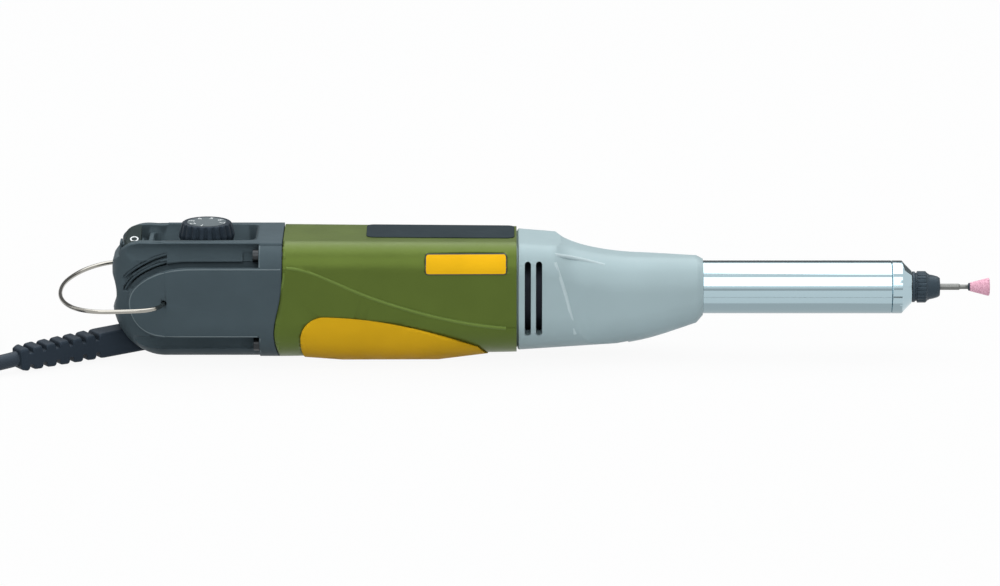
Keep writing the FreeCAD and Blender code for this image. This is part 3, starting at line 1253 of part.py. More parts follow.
def build():
    """Every node of the part by name."""
    holders, brushes, springs = brush_parts()
    shield_x = CAN_X - END_SHIELD_L
    front_shield_x = CAN_X + CAN_L
    front_bearing_x = front_shield_x + END_SHIELD_L - MOTOR_BEARING_L
    neck_bearing_x = RING_X - NECK_BEARING_BACK - SPINDLE_BEARING_L
    nose_seat_x = NOSE_X + NOSE_SCREW_SEAT
    return {
        "rear_cover": rear_cover(),
        "rear_cover_screws": screws(cover_screw_places(), COLLAR_X, 1, COVER_SCREW_L,
                                    SCREW_R, SCREW_HEAD_R),
        "motor_housing": motor_housing(),
        "grip_pad": grip_pad(),
        "rating_plate": rating_plate(),
        "badge_plate": badge_plate(),
        "nose_housing": nose_housing(),
        "nose_screws": screws(nose_screw_places(), nose_seat_x, -1, NOSE_SCREW_L,
                              NOSE_SCREW_R, NOSE_SCREW_HEAD_R),
        "neck_tube": neck_tube(),
        "neck_end_ring": neck_end_ring(),
        "neck_bearing": ball_bearing(NECK_BORE_R, SPINDLE_R, neck_bearing_x, SPINDLE_BEARING_L),
        "spindle_rear_bearing": ball_bearing(SPINDLE_BEARING_R, SPINDLE_R, SPINDLE_BEARING_X,
                                             SPINDLE_BEARING_L),
        "motor_can": motor_can(),
        "field_magnets": field_magnets(),
        "rear_end_shield": end_shield(shield_x, CAN_X, shield_x),
        "front_end_shield": end_shield(front_shield_x, front_shield_x + END_SHIELD_L, front_bearing_x),
        "motor_rear_bearing": ball_bearing(MOTOR_BEARING_R, SHAFT_R, shield_x, MOTOR_BEARING_L),
        "motor_front_bearing": ball_bearing(MOTOR_BEARING_R, SHAFT_R, front_bearing_x, MOTOR_BEARING_L),
        "brush_holders": holders,
        "carbon_brushes": brushes,
        "brush_springs": springs,
        "circuit_board": circuit_board(),
        "potentiometer": potentiometer(),
        "switch_body": switch_body(),
        "switch_rocker": switch_rocker(),
        "dial_knob": dial_knob(),
        "dial_scale": dial_scale(),
        "bail_wire": bail_wire(),
        "cord_clamp": cord_clamp(),
        "cord_boot": cord_boot(),
        "cord_lead": cord_lead(),
        "cord_coil": cord_coil(),
        "plug_lead": plug_lead(),
        "plug_body": plug_body(),
        "plug_pins": plug_pins(),
        "motor_shaft": motor_shaft(),
        "armature_core": armature_core(),
        "armature_windings": armature_windings(),
        "commutator": commutator(),
        "cooling_fan": cooling_fan(),
        "shaft_coupling": shaft_coupling(),
        "spindle": spindle(),
        "collet": collet(),
        "collet_nut": collet_nut(),
        "bit_shank": bit_shank(),
        "mounted_stone": mounted_stone(),
    }


for node, shape in build().items():
    shape.exportStep(os.path.join(PARTS, node + ".step"))
    print("%-22s solids %d valid %s volume %.1f" % (node, len(shape.Solids), shape.isValid(), shape.Volume))
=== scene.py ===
import json
import math
import bpy
from mathutils import Matrix, Vector


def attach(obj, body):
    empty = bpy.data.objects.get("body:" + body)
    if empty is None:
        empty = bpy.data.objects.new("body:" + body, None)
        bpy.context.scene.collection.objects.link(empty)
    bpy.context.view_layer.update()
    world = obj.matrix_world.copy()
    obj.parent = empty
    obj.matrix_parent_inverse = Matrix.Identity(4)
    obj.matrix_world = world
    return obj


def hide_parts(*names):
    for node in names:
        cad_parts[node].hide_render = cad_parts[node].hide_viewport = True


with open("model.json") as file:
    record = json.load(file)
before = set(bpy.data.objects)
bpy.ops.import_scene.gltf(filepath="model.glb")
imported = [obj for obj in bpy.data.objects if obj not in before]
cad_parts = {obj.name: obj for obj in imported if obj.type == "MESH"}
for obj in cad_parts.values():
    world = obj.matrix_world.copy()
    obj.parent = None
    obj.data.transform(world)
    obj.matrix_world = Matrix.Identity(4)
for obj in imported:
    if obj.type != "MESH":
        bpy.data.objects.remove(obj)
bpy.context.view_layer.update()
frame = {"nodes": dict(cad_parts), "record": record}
nodes = frame["nodes"]
collection = bpy.context.scene.collection
BODY_OF = {node: body for body, held in frame["record"]["behaviour"]["bodies"].items() for node in held}
SLOT_OF = {part["node"]: part["material_slot"] for part in frame["record"]["subparts"]}

# The camera
CAMERA_LENS = 229.2
CAMERA_LIFT = math.radians(14)
CAMERA_DISTANCE = 2.4
CAMERA_AIM = (-0.0093, 0, 0.0234)

# Places and sizes in metres that the solid model has too
AXIS_Z = 0.0258
STONE_X = 0.16775
SHANK_COLLAR_L = 0.0008
DIAL_X = -0.11955
DIAL_FOOT_Z = 0.0411
DIAL_TOP_Z = 0.0510
BOOT_EXIT = (-0.14745, 0, 0.0065)
BOOT_YAW = math.radians(32)
BOOT_DROP = math.radians(2)
BAIL_HOLE = (-0.13485, 0.0250)
PLATEAU_NOSE_L = 0.0230
PLATEAU_HALF_H = 0.0134
PLATEAU_CROWN_X = BAIL_HOLE[0] - PLATEAU_HALF_H + PLATEAU_NOSE_L

# The cord, whose coil has the room of the solid one
CORD_DIAMETER = 0.0058
COIL_CENTRE = (-0.2480, 0.0052)
COIL_OUTER_TURN = 0.0435
COIL_INNER_TURN = 0.0261

# Finer forms, fitted to the picture
DIAL_FLARE_Z = 0.0447
DIAL_FLUTES = 20
DIAL_NUMBERS = 7
BOOT_LENGTH = 0.0501
BOOT_HALF_AT_ROOT = 0.0049
BOOT_HALF_AT_TIP = 0.0043
BOOT_HALF_IN_NOTCH = 0.0024
BOOT_FIRST_NOTCH = 0.0180
BOOT_PITCH = 0.00558
BOOT_NOTCHES = 6
BAIL_WIRE_R = 0.00082
# A dark ring behind the nose's slots: painted shade inside the housing
SHADE_RING_R = 0.0169
SHADE_RING_FROM_X = -0.0015
SHADE_RING_L = 0.0098
SHADE_RING_WALL = 0.0006
CREASE_R = 0.0007
PLATEAU_EDGE_R = 0.00032
LIP_EDGE_R = 0.00034
COLLAR_EDGE_R = 0.00030
VENT_RIB_R = 0.00062
SEAM_EDGE_R = 0.00048
SHOULDER_LINE_R = 0.00085
SHOULDER_RIDGE_R = 0.00080

# Where the rays start that find a piece's surface from the side and from above
OUTSIDE_Y = 0.06
ABOVE_Z = 0.08

# The range that nearly all of a noise pattern lies in
PATTERN_LOW, PATTERN_HIGH = 0.3, 0.7


def make_camera():
    """A long lens square to the tool's side, looking down on it a little."""
    data = bpy.data.cameras.new("camera")
    data.sensor_width = 36
    data.lens = CAMERA_LENS
    data.clip_end = 50
    camera = bpy.data.objects.new("camera", data)
    collection.objects.link(camera)
    back = Vector((0, -math.cos(CAMERA_LIFT), math.sin(CAMERA_LIFT)))
    camera.location = Vector(CAMERA_AIM) + CAMERA_DISTANCE * back
    camera.rotation_euler = (math.pi / 2 - CAMERA_LIFT, 0, 0)
    bpy.context.scene.camera = camera


make_camera()


# The cord comes next, because its length and lay are tested first

def coil_turns():
    """The put-away length: nearly four turns inward on the surface, then back outward on top of them."""
    per_turn = 14
    first_angle = -90.0
    inward_turns, outward_turns = 3.9, 3.55
    narrowing_turns = 3.0
    widening_from, widening_turns = 4.2, 3.1
    climb_from, climb_turns = 3.1, 0.8
    last_turn = COIL_OUTER_TURN + 0.0015
    steps = round(per_turn * (inward_turns + outward_turns))
    # The curve runs a little inside its control points
    fit = 1 / math.cos(math.pi / per_turn) ** 0.98
    points = []
    for i in range(1, steps + 1):
        turn = i / per_turn
        if turn <= inward_turns:
            share = min(1.0, turn / narrowing_turns)
            radius = COIL_OUTER_TURN + (COIL_INNER_TURN - COIL_OUTER_TURN) * share
        else:
            share = min(1.0, max(0.0, (turn - widening_from) / widening_turns))
            radius = COIL_INNER_TURN + (last_turn - COIL_INNER_TURN) * share
        climb = min(1.0, max(0.0, (turn - climb_from) / climb_turns))
        z = CORD_DIAMETER * (0.5 + climb)
        angle = math.radians(first_angle - 360 * turn)
        points.append((COIL_CENTRE[0] + radius * fit * math.cos(angle),
                       COIL_CENTRE[1] + radius * fit * math.sin(angle), z))
    return points


def cord_route():
    """The whole way: from the boot to the coil, round it, and up over it to the plug."""
    lead = [(-0.18983, -0.02648, 0.004755), (-0.2007, -0.0331, 0.0034), (-0.2155, -0.0379, 0.00292),
            (-0.2320, -0.0386, 0.00292), (-0.2480, -0.0383, 0.00292)]
    # In millimetres from the coil's centre
    plug_lead = [(34.0, 29.6, 8.9), (41.4, 17.6, 9.2), (43.4, 3.6, 10.8), (39.5, -10.0, 13.4),
                 (30.4, -20.8, 15.6), (17.7, -27.0, 17.6), (5.9, -27.8, 18.45)]
    tail = [(COIL_CENTRE[0] + x / 1000, COIL_CENTRE[1] + y / 1000, z / 1000) for x, y, z in plug_lead]
    return lead + coil_turns() + tail


def make_cord():
    """The mains cord as one smooth open curve, which stands for the three cord solids."""
    curve = bpy.data.curves.new("cord", "CURVE")
    curve.dimensions = "3D"
    curve.bevel_depth = 1
    curve.bevel_resolution = 4
    curve.resolution_u = 6
    curve.use_fill_caps = True
    spline = curve.splines.new("NURBS")
    route = cord_route()
    spline.points.add(len(route) - 1)
    for point, place in zip(spline.points, route):
        point.co = (*place, 1)
        point.radius = CORD_DIAMETER / 2
    spline.order_u = 3
    spline.use_endpoint_u = True
    cord = bpy.data.objects.new("mains_cord", curve)
    collection.objects.link(cord)
    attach(cord, "housing")
    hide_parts("cord_lead", "cord_coil", "plug_lead")
    return cord


cord = make_cord()


# Shader nodes that several materials share

def new_material(name):
    mat = bpy.data.materials.new(name)
    mat.use_nodes = True
    tree = mat.node_tree
    shader = tree.nodes["Principled BSDF"]
    return mat, tree, shader


def object_place(tree, scale=(1, 1, 1)):
    """The place on the object itself, stretched by scale."""
    place = tree.nodes.new("ShaderNodeTexCoord")
    mapping = tree.nodes.new("ShaderNodeMapping")
    mapping.inputs["Scale"].default_value = scale
    tree.links.new(place.outputs["Object"], mapping.inputs["Vector"])
    return mapping.outputs["Vector"]


def noise(tree, vector, scale, detail):
    tex = tree.nodes.new("ShaderNodeTexNoise")
    tex.inputs["Scale"].default_value = scale
    tex.inputs["Detail"].default_value = detail
    tex.inputs["Roughness"].default_value = 0.55
    tree.links.new(vector, tex.inputs["Vector"])
    return tex.outputs["Fac"]


def spread(tree, value, low, high):
    """Turns a 0 to 1 pattern into a narrower range."""
    ranged = tree.nodes.new("ShaderNodeMapRange")
    ranged.inputs["From Min"].default_value = PATTERN_LOW
    ranged.inputs["From Max"].default_value = PATTERN_HIGH
    ranged.inputs["To Min"].default_value = low
    ranged.inputs["To Max"].default_value = high
    tree.links.new(value, ranged.inputs["Value"])
    return ranged.outputs["Result"]


def two_tone(tree, value, dark, light):
    """Turns a 0 to 1 pattern into a blend of two colours."""
    ramp = tree.nodes.new("ShaderNodeValToRGB")
    ramp.color_ramp.elements[0].position = PATTERN_LOW
    ramp.color_ramp.elements[0].color = (*dark, 1)
    ramp.color_ramp.elements[1].position = PATTERN_HIGH
    ramp.color_ramp.elements[1].color = (*light, 1)
    tree.links.new(value, ramp.inputs["Fac"])
    return ramp.outputs["Color"]


def relief(tree, shader, value, height, strength, edge=0.0):
    """Fine surface relief, and corners that catch the light as if rounded by edge."""
    bump = tree.nodes.new("ShaderNodeBump")
    bump.inputs["Distance"].default_value = height
    bump.inputs["Strength"].default_value = strength
    tree.links.new(value, bump.inputs["Height"])
    if edge:
        bevel = tree.nodes.new("ShaderNodeBevel")
        bevel.samples = 6
        bevel.inputs["Radius"].default_value = edge
        tree.links.new(bevel.outputs["Normal"], bump.inputs["Normal"])
    tree.links.new(bump.outputs["Normal"], shader.inputs["Normal"])


def shade(color, factor):
    """A colour made lighter or darker."""
    return tuple(c * factor for c in color)


def moulded(name, color, rough, grain=2200, height=0.00004, edge=0.0004, gloss=0.25, sway=0.07):
    """Moulded plastic or rubber: a fine grain, faint clouding and an uneven gloss of its own tint."""
    mat, tree, shader = new_material(name)
    place = object_place(tree)
    cloud = noise(tree, place, scale=45, detail=2.0)
    fine = noise(tree, place, scale=grain, detail=2.0)
    tree.links.new(two_tone(tree, cloud, shade(color, 1 - sway), shade(color, 1 + sway)),
                   shader.inputs["Base Color"])
    wear = noise(tree, place, scale=160, detail=3.0)
    tree.links.new(spread(tree, wear, rough - 0.04, rough + 0.05), shader.inputs["Roughness"])
    shader.inputs["Specular IOR Level"].default_value = gloss
    shader.inputs["Specular Tint"].default_value = (*shade(color, 1 / max(color)), 1)
    relief(tree, shader, fine, height, strength=0.45, edge=edge)
    return mat


def turned_metal(name, color, rough, stretch=(1, 1, 1), edge=0.00025):
    """Metal with fine marks left by turning or drawing, stretched along one way."""
    sway = 0.04
    mat, tree, shader = new_material(name)
    shader.inputs["Metallic"].default_value = 1.0
    place = object_place(tree, stretch)
    marks = noise(tree, place, scale=900, detail=3.0)
    cloud = noise(tree, place, scale=60, detail=2.0)
    tree.links.new(two_tone(tree, cloud, shade(color, 1 - sway), shade(color, 1 + sway)),
                   shader.inputs["Base Color"])
    tree.links.new(spread(tree, marks, max(rough - 0.03, 0.02), rough + 0.04), shader.inputs["Roughness"])
    relief(tree, shader, marks, height=0.00001, strength=0.3, edge=edge)
    return mat


def gritty_stone(name, dark, light):
    """Bonded abrasive: sharp grains in two tones with tiny pits between them."""
    mat, tree, shader = new_material(name)
    place = object_place(tree)
    cells = tree.nodes.new("ShaderNodeTexVoronoi")
    cells.inputs["Scale"].default_value = 3600
    tree.links.new(place, cells.inputs["Vector"])
    tree.links.new(two_tone(tree, cells.outputs["Color"], dark, light), shader.inputs["Base Color"])
    shader.inputs["Roughness"].default_value = 0.85
    shader.inputs["Specular IOR Level"].default_value = 0.2
    relief(tree, shader, cells.outputs["Distance"], height=0.00012, strength=0.8)
    return mat


COVER = moulded("cover_plastic", (0.062, 0.086, 0.099), 0.50, edge=0.0008, gloss=0.10)
GREEN = moulded("housing_green", (0.070, 0.100, 0.021), 0.37, edge=0.0007, gloss=0.6)
# Lighter copies of the cover, housing and nose colours: painted highlights for the fine beads along their
# edges
COVER_PAINTED_HIGHLIGHT = moulded("cover_painted_highlight", (0.125, 0.160, 0.175), 0.46, edge=0, gloss=0.25)
GREEN_PAINTED_HIGHLIGHT = moulded("green_painted_highlight", (0.110, 0.160, 0.038), 0.44, edge=0, gloss=0.5)
NOSE_PAINTED_HIGHLIGHT = moulded("nose_painted_highlight", (0.460, 0.560, 0.585), 0.40, edge=0, sway=0.03)
NOSE = moulded("nose_grey", (0.345, 0.445, 0.470), 0.40, sway=0.03)
PAD = moulded("grip_yellow", (0.640, 0.375, 0.013), 0.60, grain=1500, height=0.00006)
PLATE = moulded("plate_dark", (0.024, 0.034, 0.040), 0.60, edge=0.0002, gloss=0.05)
BADGE = moulded("badge_yellow", (0.800, 0.450, 0.012), 0.40, edge=0.0002)
KNOB = moulded("knob_dark", (0.019, 0.027, 0.036), 0.40, edge=0.0003, gloss=0.15)
ROCKER = moulded("rocker_dark", (0.028, 0.038, 0.038), 0.60, edge=0.0003, gloss=0.05)
RUBBER = moulded("rubber_black", (0.020, 0.028, 0.038), 0.50, edge=0.0005, gloss=0.2)
SHEATH = moulded("cord_black", (0.026, 0.034, 0.044), 0.50, grain=900, edge=0)
BLACKENED = moulded("black_oxide", (0.034, 0.048, 0.060), 0.42, edge=0.0002)
INNER = moulded("inner_plastic", (0.020, 0.021, 0.028), 0.5)
INNER_SHADE_STEEL = turned_metal("inner_steel_painted_shade", (0.10, 0.10, 0.11), 0.5)
CARBON = moulded("carbon", (0.030, 0.030, 0.030), 0.6)
BOARD = moulded("board_green", (0.020, 0.160, 0.070), 0.4)
MAGNET = moulded("magnet_dark", (0.090, 0.090, 0.100), 0.5)
PRINT = moulded("white_print", (0.780, 0.820, 0.830), 0.5, edge=0)
NECK = turned_metal("neck_steel", (0.43, 0.56, 0.61), 0.07, (0.02, 1, 1))
BRIGHT = turned_metal("bright_steel", (0.17, 0.175, 0.17), 0.40)
SCREW = turned_metal("screw_steel", (0.040, 0.043, 0.046), 0.35)
WIRE = turned_metal("bail_steel", (0.34, 0.33, 0.30), 0.14, edge=0)
SILVER = moulded("scale_silver", (0.112, 0.134, 0.144), 0.50, edge=0.0001, gloss=0.1)
NICKEL = turned_metal("pin_nickel", (0.70, 0.68, 0.62), 0.2)
COPPER = turned_metal("copper", (0.72, 0.36, 0.20), 0.3)
IRON = turned_metal("laminated_iron", (0.25, 0.25, 0.27), 0.4, (8, 1, 1))
STONE = gritty_stone("stone_pink", (0.62, 0.30, 0.40), (0.88, 0.52, 0.64))

FINISHES = {
    "cover_plastic": COVER, "housing_green": GREEN, "nose_grey": NOSE, "grip_yellow": PAD,
    "plate_dark": PLATE, "badge_yellow": BADGE, "neck_steel": NECK, "bright_steel": BRIGHT,
    "screw_steel": SCREW, "bail_steel": WIRE, "black_oxide": BLACKENED, "knob_dark": KNOB,
    "scale_silver": SILVER, "rubber_black": RUBBER, "cord_black": SHEATH, "pin_nickel": NICKEL,
    "copper": COPPER, "laminated_iron": IRON, "magnet_dark": MAGNET, "carbon": CARBON,
    "board_green": BOARD, "inner_plastic": INNER, "stone_pink": STONE,
}


def paint(piece, mat):
    piece.data.materials.clear()
    piece.data.materials.append(mat)


for name, piece in nodes.items():
    paint(piece, FINISHES[SLOT_OF[name]])
paint(cord, SHEATH)
# Inner metal parts get a far darker steel than bare metal: painted shade for where they sit inside the
# housing
for name in ("shaft_coupling", "motor_can", "motor_shaft", "spindle_rear_bearing"):
    paint(nodes[name], INNER_SHADE_STEEL)
paint(nodes["switch_body"], COVER)


# Tools for shaping pieces

def only(piece):
    """Selects one piece and nothing else."""
    bpy.ops.object.select_all(action="DESELECT")
    piece.select_set(True)
    bpy.context.view_layer.objects.active = piece


def edit(piece):
    only(piece)
    bpy.ops.object.mode_set(mode="EDIT")


def leave_edit():
    bpy.ops.object.mode_set(mode="OBJECT")


def smoothed(piece, angle):
    """Smooth shading across gentle edges, with broad faces kept even."""
    only(piece)
    bpy.ops.object.shade_smooth_by_angle(angle=math.radians(angle))
    piece.modifiers.new("even", "WEIGHTED_NORMAL").keep_sharp = True
    bpy.ops.object.modifier_apply(modifier="even")


def settle(piece, body, slot, mat, *replaced):
    """Gives a finished piece its material, its body and the solids that it stands for."""
    paint(piece, mat)
    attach(piece, body)
    if replaced:
        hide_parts(*replaced)
    return piece


def reskinned(node):
    """A merged copy of a solid's mesh with its curved faces smooth, shown in the solid's place."""
    skin = bpy.data.objects.new(node + "_skin", nodes[node].data.copy())
    collection.objects.link(skin)
    edit(skin)
    bpy.ops.mesh.select_all(action="SELECT")
    bpy.ops.mesh.remove_doubles(threshold=0.000002)
    leave_edit()
    smoothed(skin, 18)
    return settle(skin, BODY_OF[node], SLOT_OF[node], FINISHES[SLOT_OF[node]], node)


for node in ("rear_cover", "rear_cover_screws", "motor_housing", "grip_pad", "rating_plate",
             "nose_housing", "nose_screws", "neck_tube", "neck_end_ring", "switch_rocker",
             "dial_scale", "collet_nut", "mounted_stone", "plug_body", "plug_pins",
             "cord_clamp", "spindle", "collet"):
    reskinned(node)


def finish_shank():
    """The tool's shank, with the dark collar against the stone."""
    shank = reskinned("bit_shank")
    shank.data.materials.append(BLACKENED)
    for face in shank.data.polygons:
        if face.center.x > STONE_X - SHANK_COLLAR_L - 0.0001:
            face.material_index = 1


def finish_badge():
    """The badge plate with a thin dark rim round its face: painted shade of the gap it sits in."""
    gap_shade_width = 0.00035
    badge = reskinned("badge_plate")
    edit(badge)
    bpy.ops.mesh.select_all(action="DESELECT")
    leave_edit()
    for face in badge.data.polygons:
        face.select = face.normal.y < -0.5
    bpy.ops.object.mode_set(mode="EDIT")
    bpy.ops.mesh.select_mode(type="FACE")
    bpy.ops.mesh.inset(thickness=gap_shade_width, depth=0)
    leave_edit()
    # The rim faces get the dark finish as painted shade of the gap round the badge
    badge.data.materials.append(BLACKENED)
    for face in badge.data.polygons:
        if not face.select:
            face.material_index = 1


finish_shank()
finish_badge()


def grow_rings(name, first, rings, sides, centre):
    """A closed form grown ring by ring: each step extrudes the open edge, moves it and sizes it."""
    bpy.ops.object.select_all(action="DESELECT")
    radius, height = first
    bpy.ops.mesh.primitive_circle_add(vertices=sides, radius=radius, fill_type="NGON",
                                      location=(centre[0], centre[1], height))
    piece = bpy.context.active_object
    piece.name = name
    bpy.ops.object.mode_set(mode="EDIT")
    for wide, high in rings:
        bpy.ops.mesh.extrude_region_move(TRANSFORM_OT_translate={"value": (0, 0, high - height)})
        ratio = wide / radius
        bpy.ops.transform.resize(value=(ratio, ratio, 1), center_override=(centre[0], centre[1], high))
        radius, height = wide, high
    bpy.ops.mesh.select_all(action="SELECT")
    bpy.ops.mesh.normals_make_consistent(inside=False)
    leave_edit()
    bpy.ops.object.transform_apply(location=True, rotation=True, scale=True)
    return piece


def make_dial():
    """The speed knob: a flared foot with soft bumps, flutes that grow shallower upwards and a sunk top."""
    rings = [(0.01000, 0.0447), (0.01030, 0.0451), (0.01046, 0.0456), (0.01048, 0.0462), (0.01040, 0.0468),
             (0.01018, 0.0474), (0.00998, 0.0481), (0.00982, 0.0488), (0.00968, 0.0495), (0.00954, 0.0501),
             (0.00938, 0.0505), (0.00914, 0.0508), (0.00882, 0.05098), (0.00826, 0.0510), (0.00752, 0.0510),
             (0.00746, 0.0508), (0.00745, 0.0505)]
    knob = grow_rings("dial_knob_shell", (0.01000, DIAL_FOOT_Z), rings, DIAL_FLUTES * 10, (DIAL_X, 0))
    ungrooved_r = 0.0084
    foot_depth, depth_lost, lost_by = 0.00115, 0.00055, 0.6
    fade_from, fade_over = 0.88, 0.12
    for corner in knob.data.vertices:
        out = Vector((corner.co.x - DIAL_X, corner.co.y, 0))
        if out.length < ungrooved_r:
            continue
        groove = max(0.0, math.cos(DIAL_FLUTES * math.atan2(out.y, out.x))) ** 0.7
        height = max(0.0, corner.co.z - DIAL_FLARE_Z) / (DIAL_TOP_Z - DIAL_FLARE_Z)
        depth = foot_depth - depth_lost * min(1.0, height / lost_by)
        if height > fade_from:
            depth *= max(0.0, (1 - height) / fade_over)
        corner.co -= out.normalized() * depth * groove
    smoothed(knob, 50)
    return settle(knob, "dial", "knob_dark", KNOB, "dial_knob")


def make_dial_numbers():
    """Numbers round the scale disc, printed in a light colour."""
    size, ring_r, lift = 0.0033, 0.0058, 0.00002
    first_angle, step = 255, 45
    digits = []
    for i in range(DIAL_NUMBERS):
        angle = math.radians(first_angle - step * i)
        bpy.ops.object.select_all(action="DESELECT")
        bpy.ops.object.text_add(location=(0, 0, 0))
        digit = bpy.context.active_object
        digit.data.body = str(i + 1)
        digit.data.size = size
        digit.data.align_x = "CENTER"
        digit.data.align_y = "CENTER"
        bpy.ops.object.convert(target="MESH")
        digit.matrix_world = (Matrix.Translation((DIAL_X, 0, DIAL_TOP_Z + lift))
                              @ Matrix.Rotation(angle - math.pi / 2, 4, "Z")
                              @ Matrix.Translation((0, ring_r, 0)))
        bpy.ops.object.transform_apply(location=True, rotation=True, scale=True)
        digits.append(digit)
    bpy.ops.object.select_all(action="DESELECT")
    for digit in digits:
        digit.select_set(True)
    bpy.context.view_layer.objects.active = digits[0]
    bpy.ops.object.join()
    digits[0].name = "dial_numbers"
    settle(digits[0], "dial", "scale_silver", PRINT)


def boot_sections():
    """Distance along the boot and half height there, from inside the cover to the tip."""
    start = -0.0068
    # Steps from a notch's middle, with the share of the boot's half height there
    before_notch = [(-0.0023, 1), (-0.0016, 0.985), (-0.0012, 0.94), (-0.0009, 0.85)]
    in_notch = (-0.0008, 0.0008)
    after_notch = [(0.0009, 0.88), (0.0011, 0.96), (0.0015, 1)]
    # Steps back from the end, with the share there
    rounded_end = [(0.0020, 1), (0.0010, 0.96), (0.0003, 0.84), (0, 0.70)]
    taper_from = BOOT_FIRST_NOTCH - BOOT_PITCH / 2
    taper = BOOT_HALF_AT_TIP - BOOT_HALF_AT_ROOT
    sections = [(start, BOOT_HALF_AT_ROOT), (taper_from, BOOT_HALF_AT_ROOT)]
    for i in range(BOOT_NOTCHES):
        notch = BOOT_FIRST_NOTCH + BOOT_PITCH * i
        high = BOOT_HALF_AT_ROOT + taper * (notch - taper_from) / (BOOT_LENGTH - taper_from)
        sections += [(notch + step, high * share) for step, share in before_notch]
        sections += [(notch + step, BOOT_HALF_IN_NOTCH) for step in in_notch]
        sections += [(notch + step, high * share) for step, share in after_notch]
    return sections + [(BOOT_LENGTH - step, BOOT_HALF_AT_TIP * share) for step, share in rounded_end]


def make_boot():
    """The strain relief: a rounded square bar with notches above and below, between rounded segments."""
    narrow_from = BOOT_LENGTH - 0.0015
    narrow_share, end_share = 0.84, 0.70
    taper = BOOT_HALF_AT_TIP - BOOT_HALF_AT_ROOT
    bpy.ops.object.select_all(action="DESELECT")
    sections = boot_sections()
    at, high = sections[0]
    wide = high
    bpy.ops.mesh.primitive_plane_add(size=2, location=(0, 0, at))
    boot = bpy.context.active_object
    boot.name = "cord_boot_shell"
    bpy.ops.object.mode_set(mode="EDIT")
    bpy.ops.mesh.bevel(offset=0.26, segments=5, affect="VERTICES")
    bpy.ops.transform.resize(value=(wide, high, 1), center_override=(0, 0, at))
    for follow, next_high in sections[1:]:
        next_wide = BOOT_HALF_AT_ROOT + taper * max(0.0, follow) / BOOT_LENGTH
        if follow > narrow_from:
            next_wide *= narrow_share if follow < BOOT_LENGTH else end_share
        bpy.ops.mesh.extrude_region_move(TRANSFORM_OT_translate={"value": (0, 0, follow - at)})
        bpy.ops.transform.resize(value=(next_wide / wide, next_high / high, 1),
                                 center_override=(0, 0, follow))
        at, high, wide = follow, next_high, next_wide
    leave_edit()
    bpy.ops.object.transform_apply(location=True, rotation=True, scale=True)
    # The bar grew up the Z axis and is laid back along X, which mirrors it, so its normals are set afterwards
    along = Matrix(((0, 0, -1), (1, 0, 0), (0, 1, 0))).to_4x4()
    boot.matrix_world = (Matrix.Translation(BOOT_EXIT) @ Matrix.Rotation(BOOT_YAW, 4, "Z")
                         @ Matrix.Rotation(-BOOT_DROP, 4, "Y") @ along)
    bpy.ops.object.transform_apply(location=True, rotation=True, scale=True)
    edit(boot)
    bpy.ops.mesh.select_all(action="SELECT")
    bpy.ops.mesh.normals_make_consistent(inside=False)
    leave_edit()
    smoothed(boot, 48)
    return settle(boot, "housing", "rubber_black", RUBBER, "cord_boot")


def wire_along(name, points, radius):
    """A round bar along a smooth line, made a mesh."""
    curve = bpy.data.curves.new(name, "CURVE")
    curve.dimensions = "3D"
    curve.bevel_depth = radius
    curve.bevel_resolution = 4
    curve.resolution_u = 8
    curve.use_fill_caps = True
    spline = curve.splines.new("NURBS")
    spline.points.add(len(points) - 1)
    for point, place in zip(spline.points, points):
        point.co = (*place, 1)
    spline.order_u = 4
    spline.use_endpoint_u = True
    bar = bpy.data.objects.new(name, curve)
    collection.objects.link(bar)
    only(bar)
    bpy.ops.object.convert(target="MESH")
    bar = bpy.context.active_object
    edit(bar)
    bpy.ops.mesh.select_all(action="SELECT")
    bpy.ops.mesh.remove_doubles(threshold=0.00001)
    bpy.ops.mesh.normals_make_consistent(inside=False)
    leave_edit()
    smoothed(bar, 50)
    return bar


def make_bail():
    """The hanging wire: out of each hole, a tight bend back, wide shoulders and a round end."""
    # In millimetres, from the far hole to the middle of the round end
    half = [(-134.85, 18.5, 25.0), (-134.85, 23.5, 25.0), (-135.6, 27.6, 25.1), (-138.0, 32.4, 25.2),
            (-142.5, 35.8, 25.4), (-148.5, 37.6, 25.7), (-154.0, 39.8, 26.0), (-160.0, 38.4, 25.7),
            (-165.2, 33.8, 25.3), (-169.3, 28.0, 24.9), (-173.0, 18.0, 24.6), (-174.9, 7.0, 24.6)]
    near = [(x / 1000, -y / 1000, z / 1000) for x, y, z in half]
    far = [(x / 1000, y / 1000, z / 1000) for x, y, z in reversed(half)]
    bail = wire_along("bail_loop_wire", near + far, BAIL_WIRE_R)
    return settle(bail, "bail", "bail_steel", WIRE, "bail_wire")


def on_surface(piece, place, way):
    """Where a line from place meets a piece, and which way the surface faces there."""
    found, spot, facing, _ = piece.ray_cast(Vector(place), Vector(way))
    if not found:
        raise ValueError("nothing under " + str(place))
    return spot, facing


def make_crease(side, name):
    """The fine raised line that runs down the housing's side from the cover to the nose, painted a lighter
    green as a highlight.
    """
    line = [(-0.0890, 0.0385), (-0.0836, 0.0384), (-0.0730, 0.0338), (-0.0621, 0.0287), (-0.0527, 0.0252),
            (-0.0391, 0.0209), (-0.0259, 0.0178), (-0.0157, 0.0159), (-0.0071, 0.0151)]
    side_line("crease_" + name, "motor_housing_skin", side, line, CREASE_R, "housing_green", GREEN_PAINTED_HIGHLIGHT)


def printed_on_rocker(piece, name, x, y):
    """Lays a flat mark that was made at the origin on the rocker's face."""
    lift = 0.00001
    spot, facing = on_surface(bpy.data.objects["switch_rocker_skin"], (x, y, ABOVE_Z), (0, 0, -1))
    turn = facing.to_track_quat("Z", "Y").to_matrix().to_4x4()
    piece.name = name
    piece.matrix_world = Matrix.Translation(spot + facing * lift) @ turn
    only(piece)
    bpy.ops.object.transform_apply(location=True, rotation=True, scale=True)
    return settle(piece, "rocker", "knob_dark", PRINT)


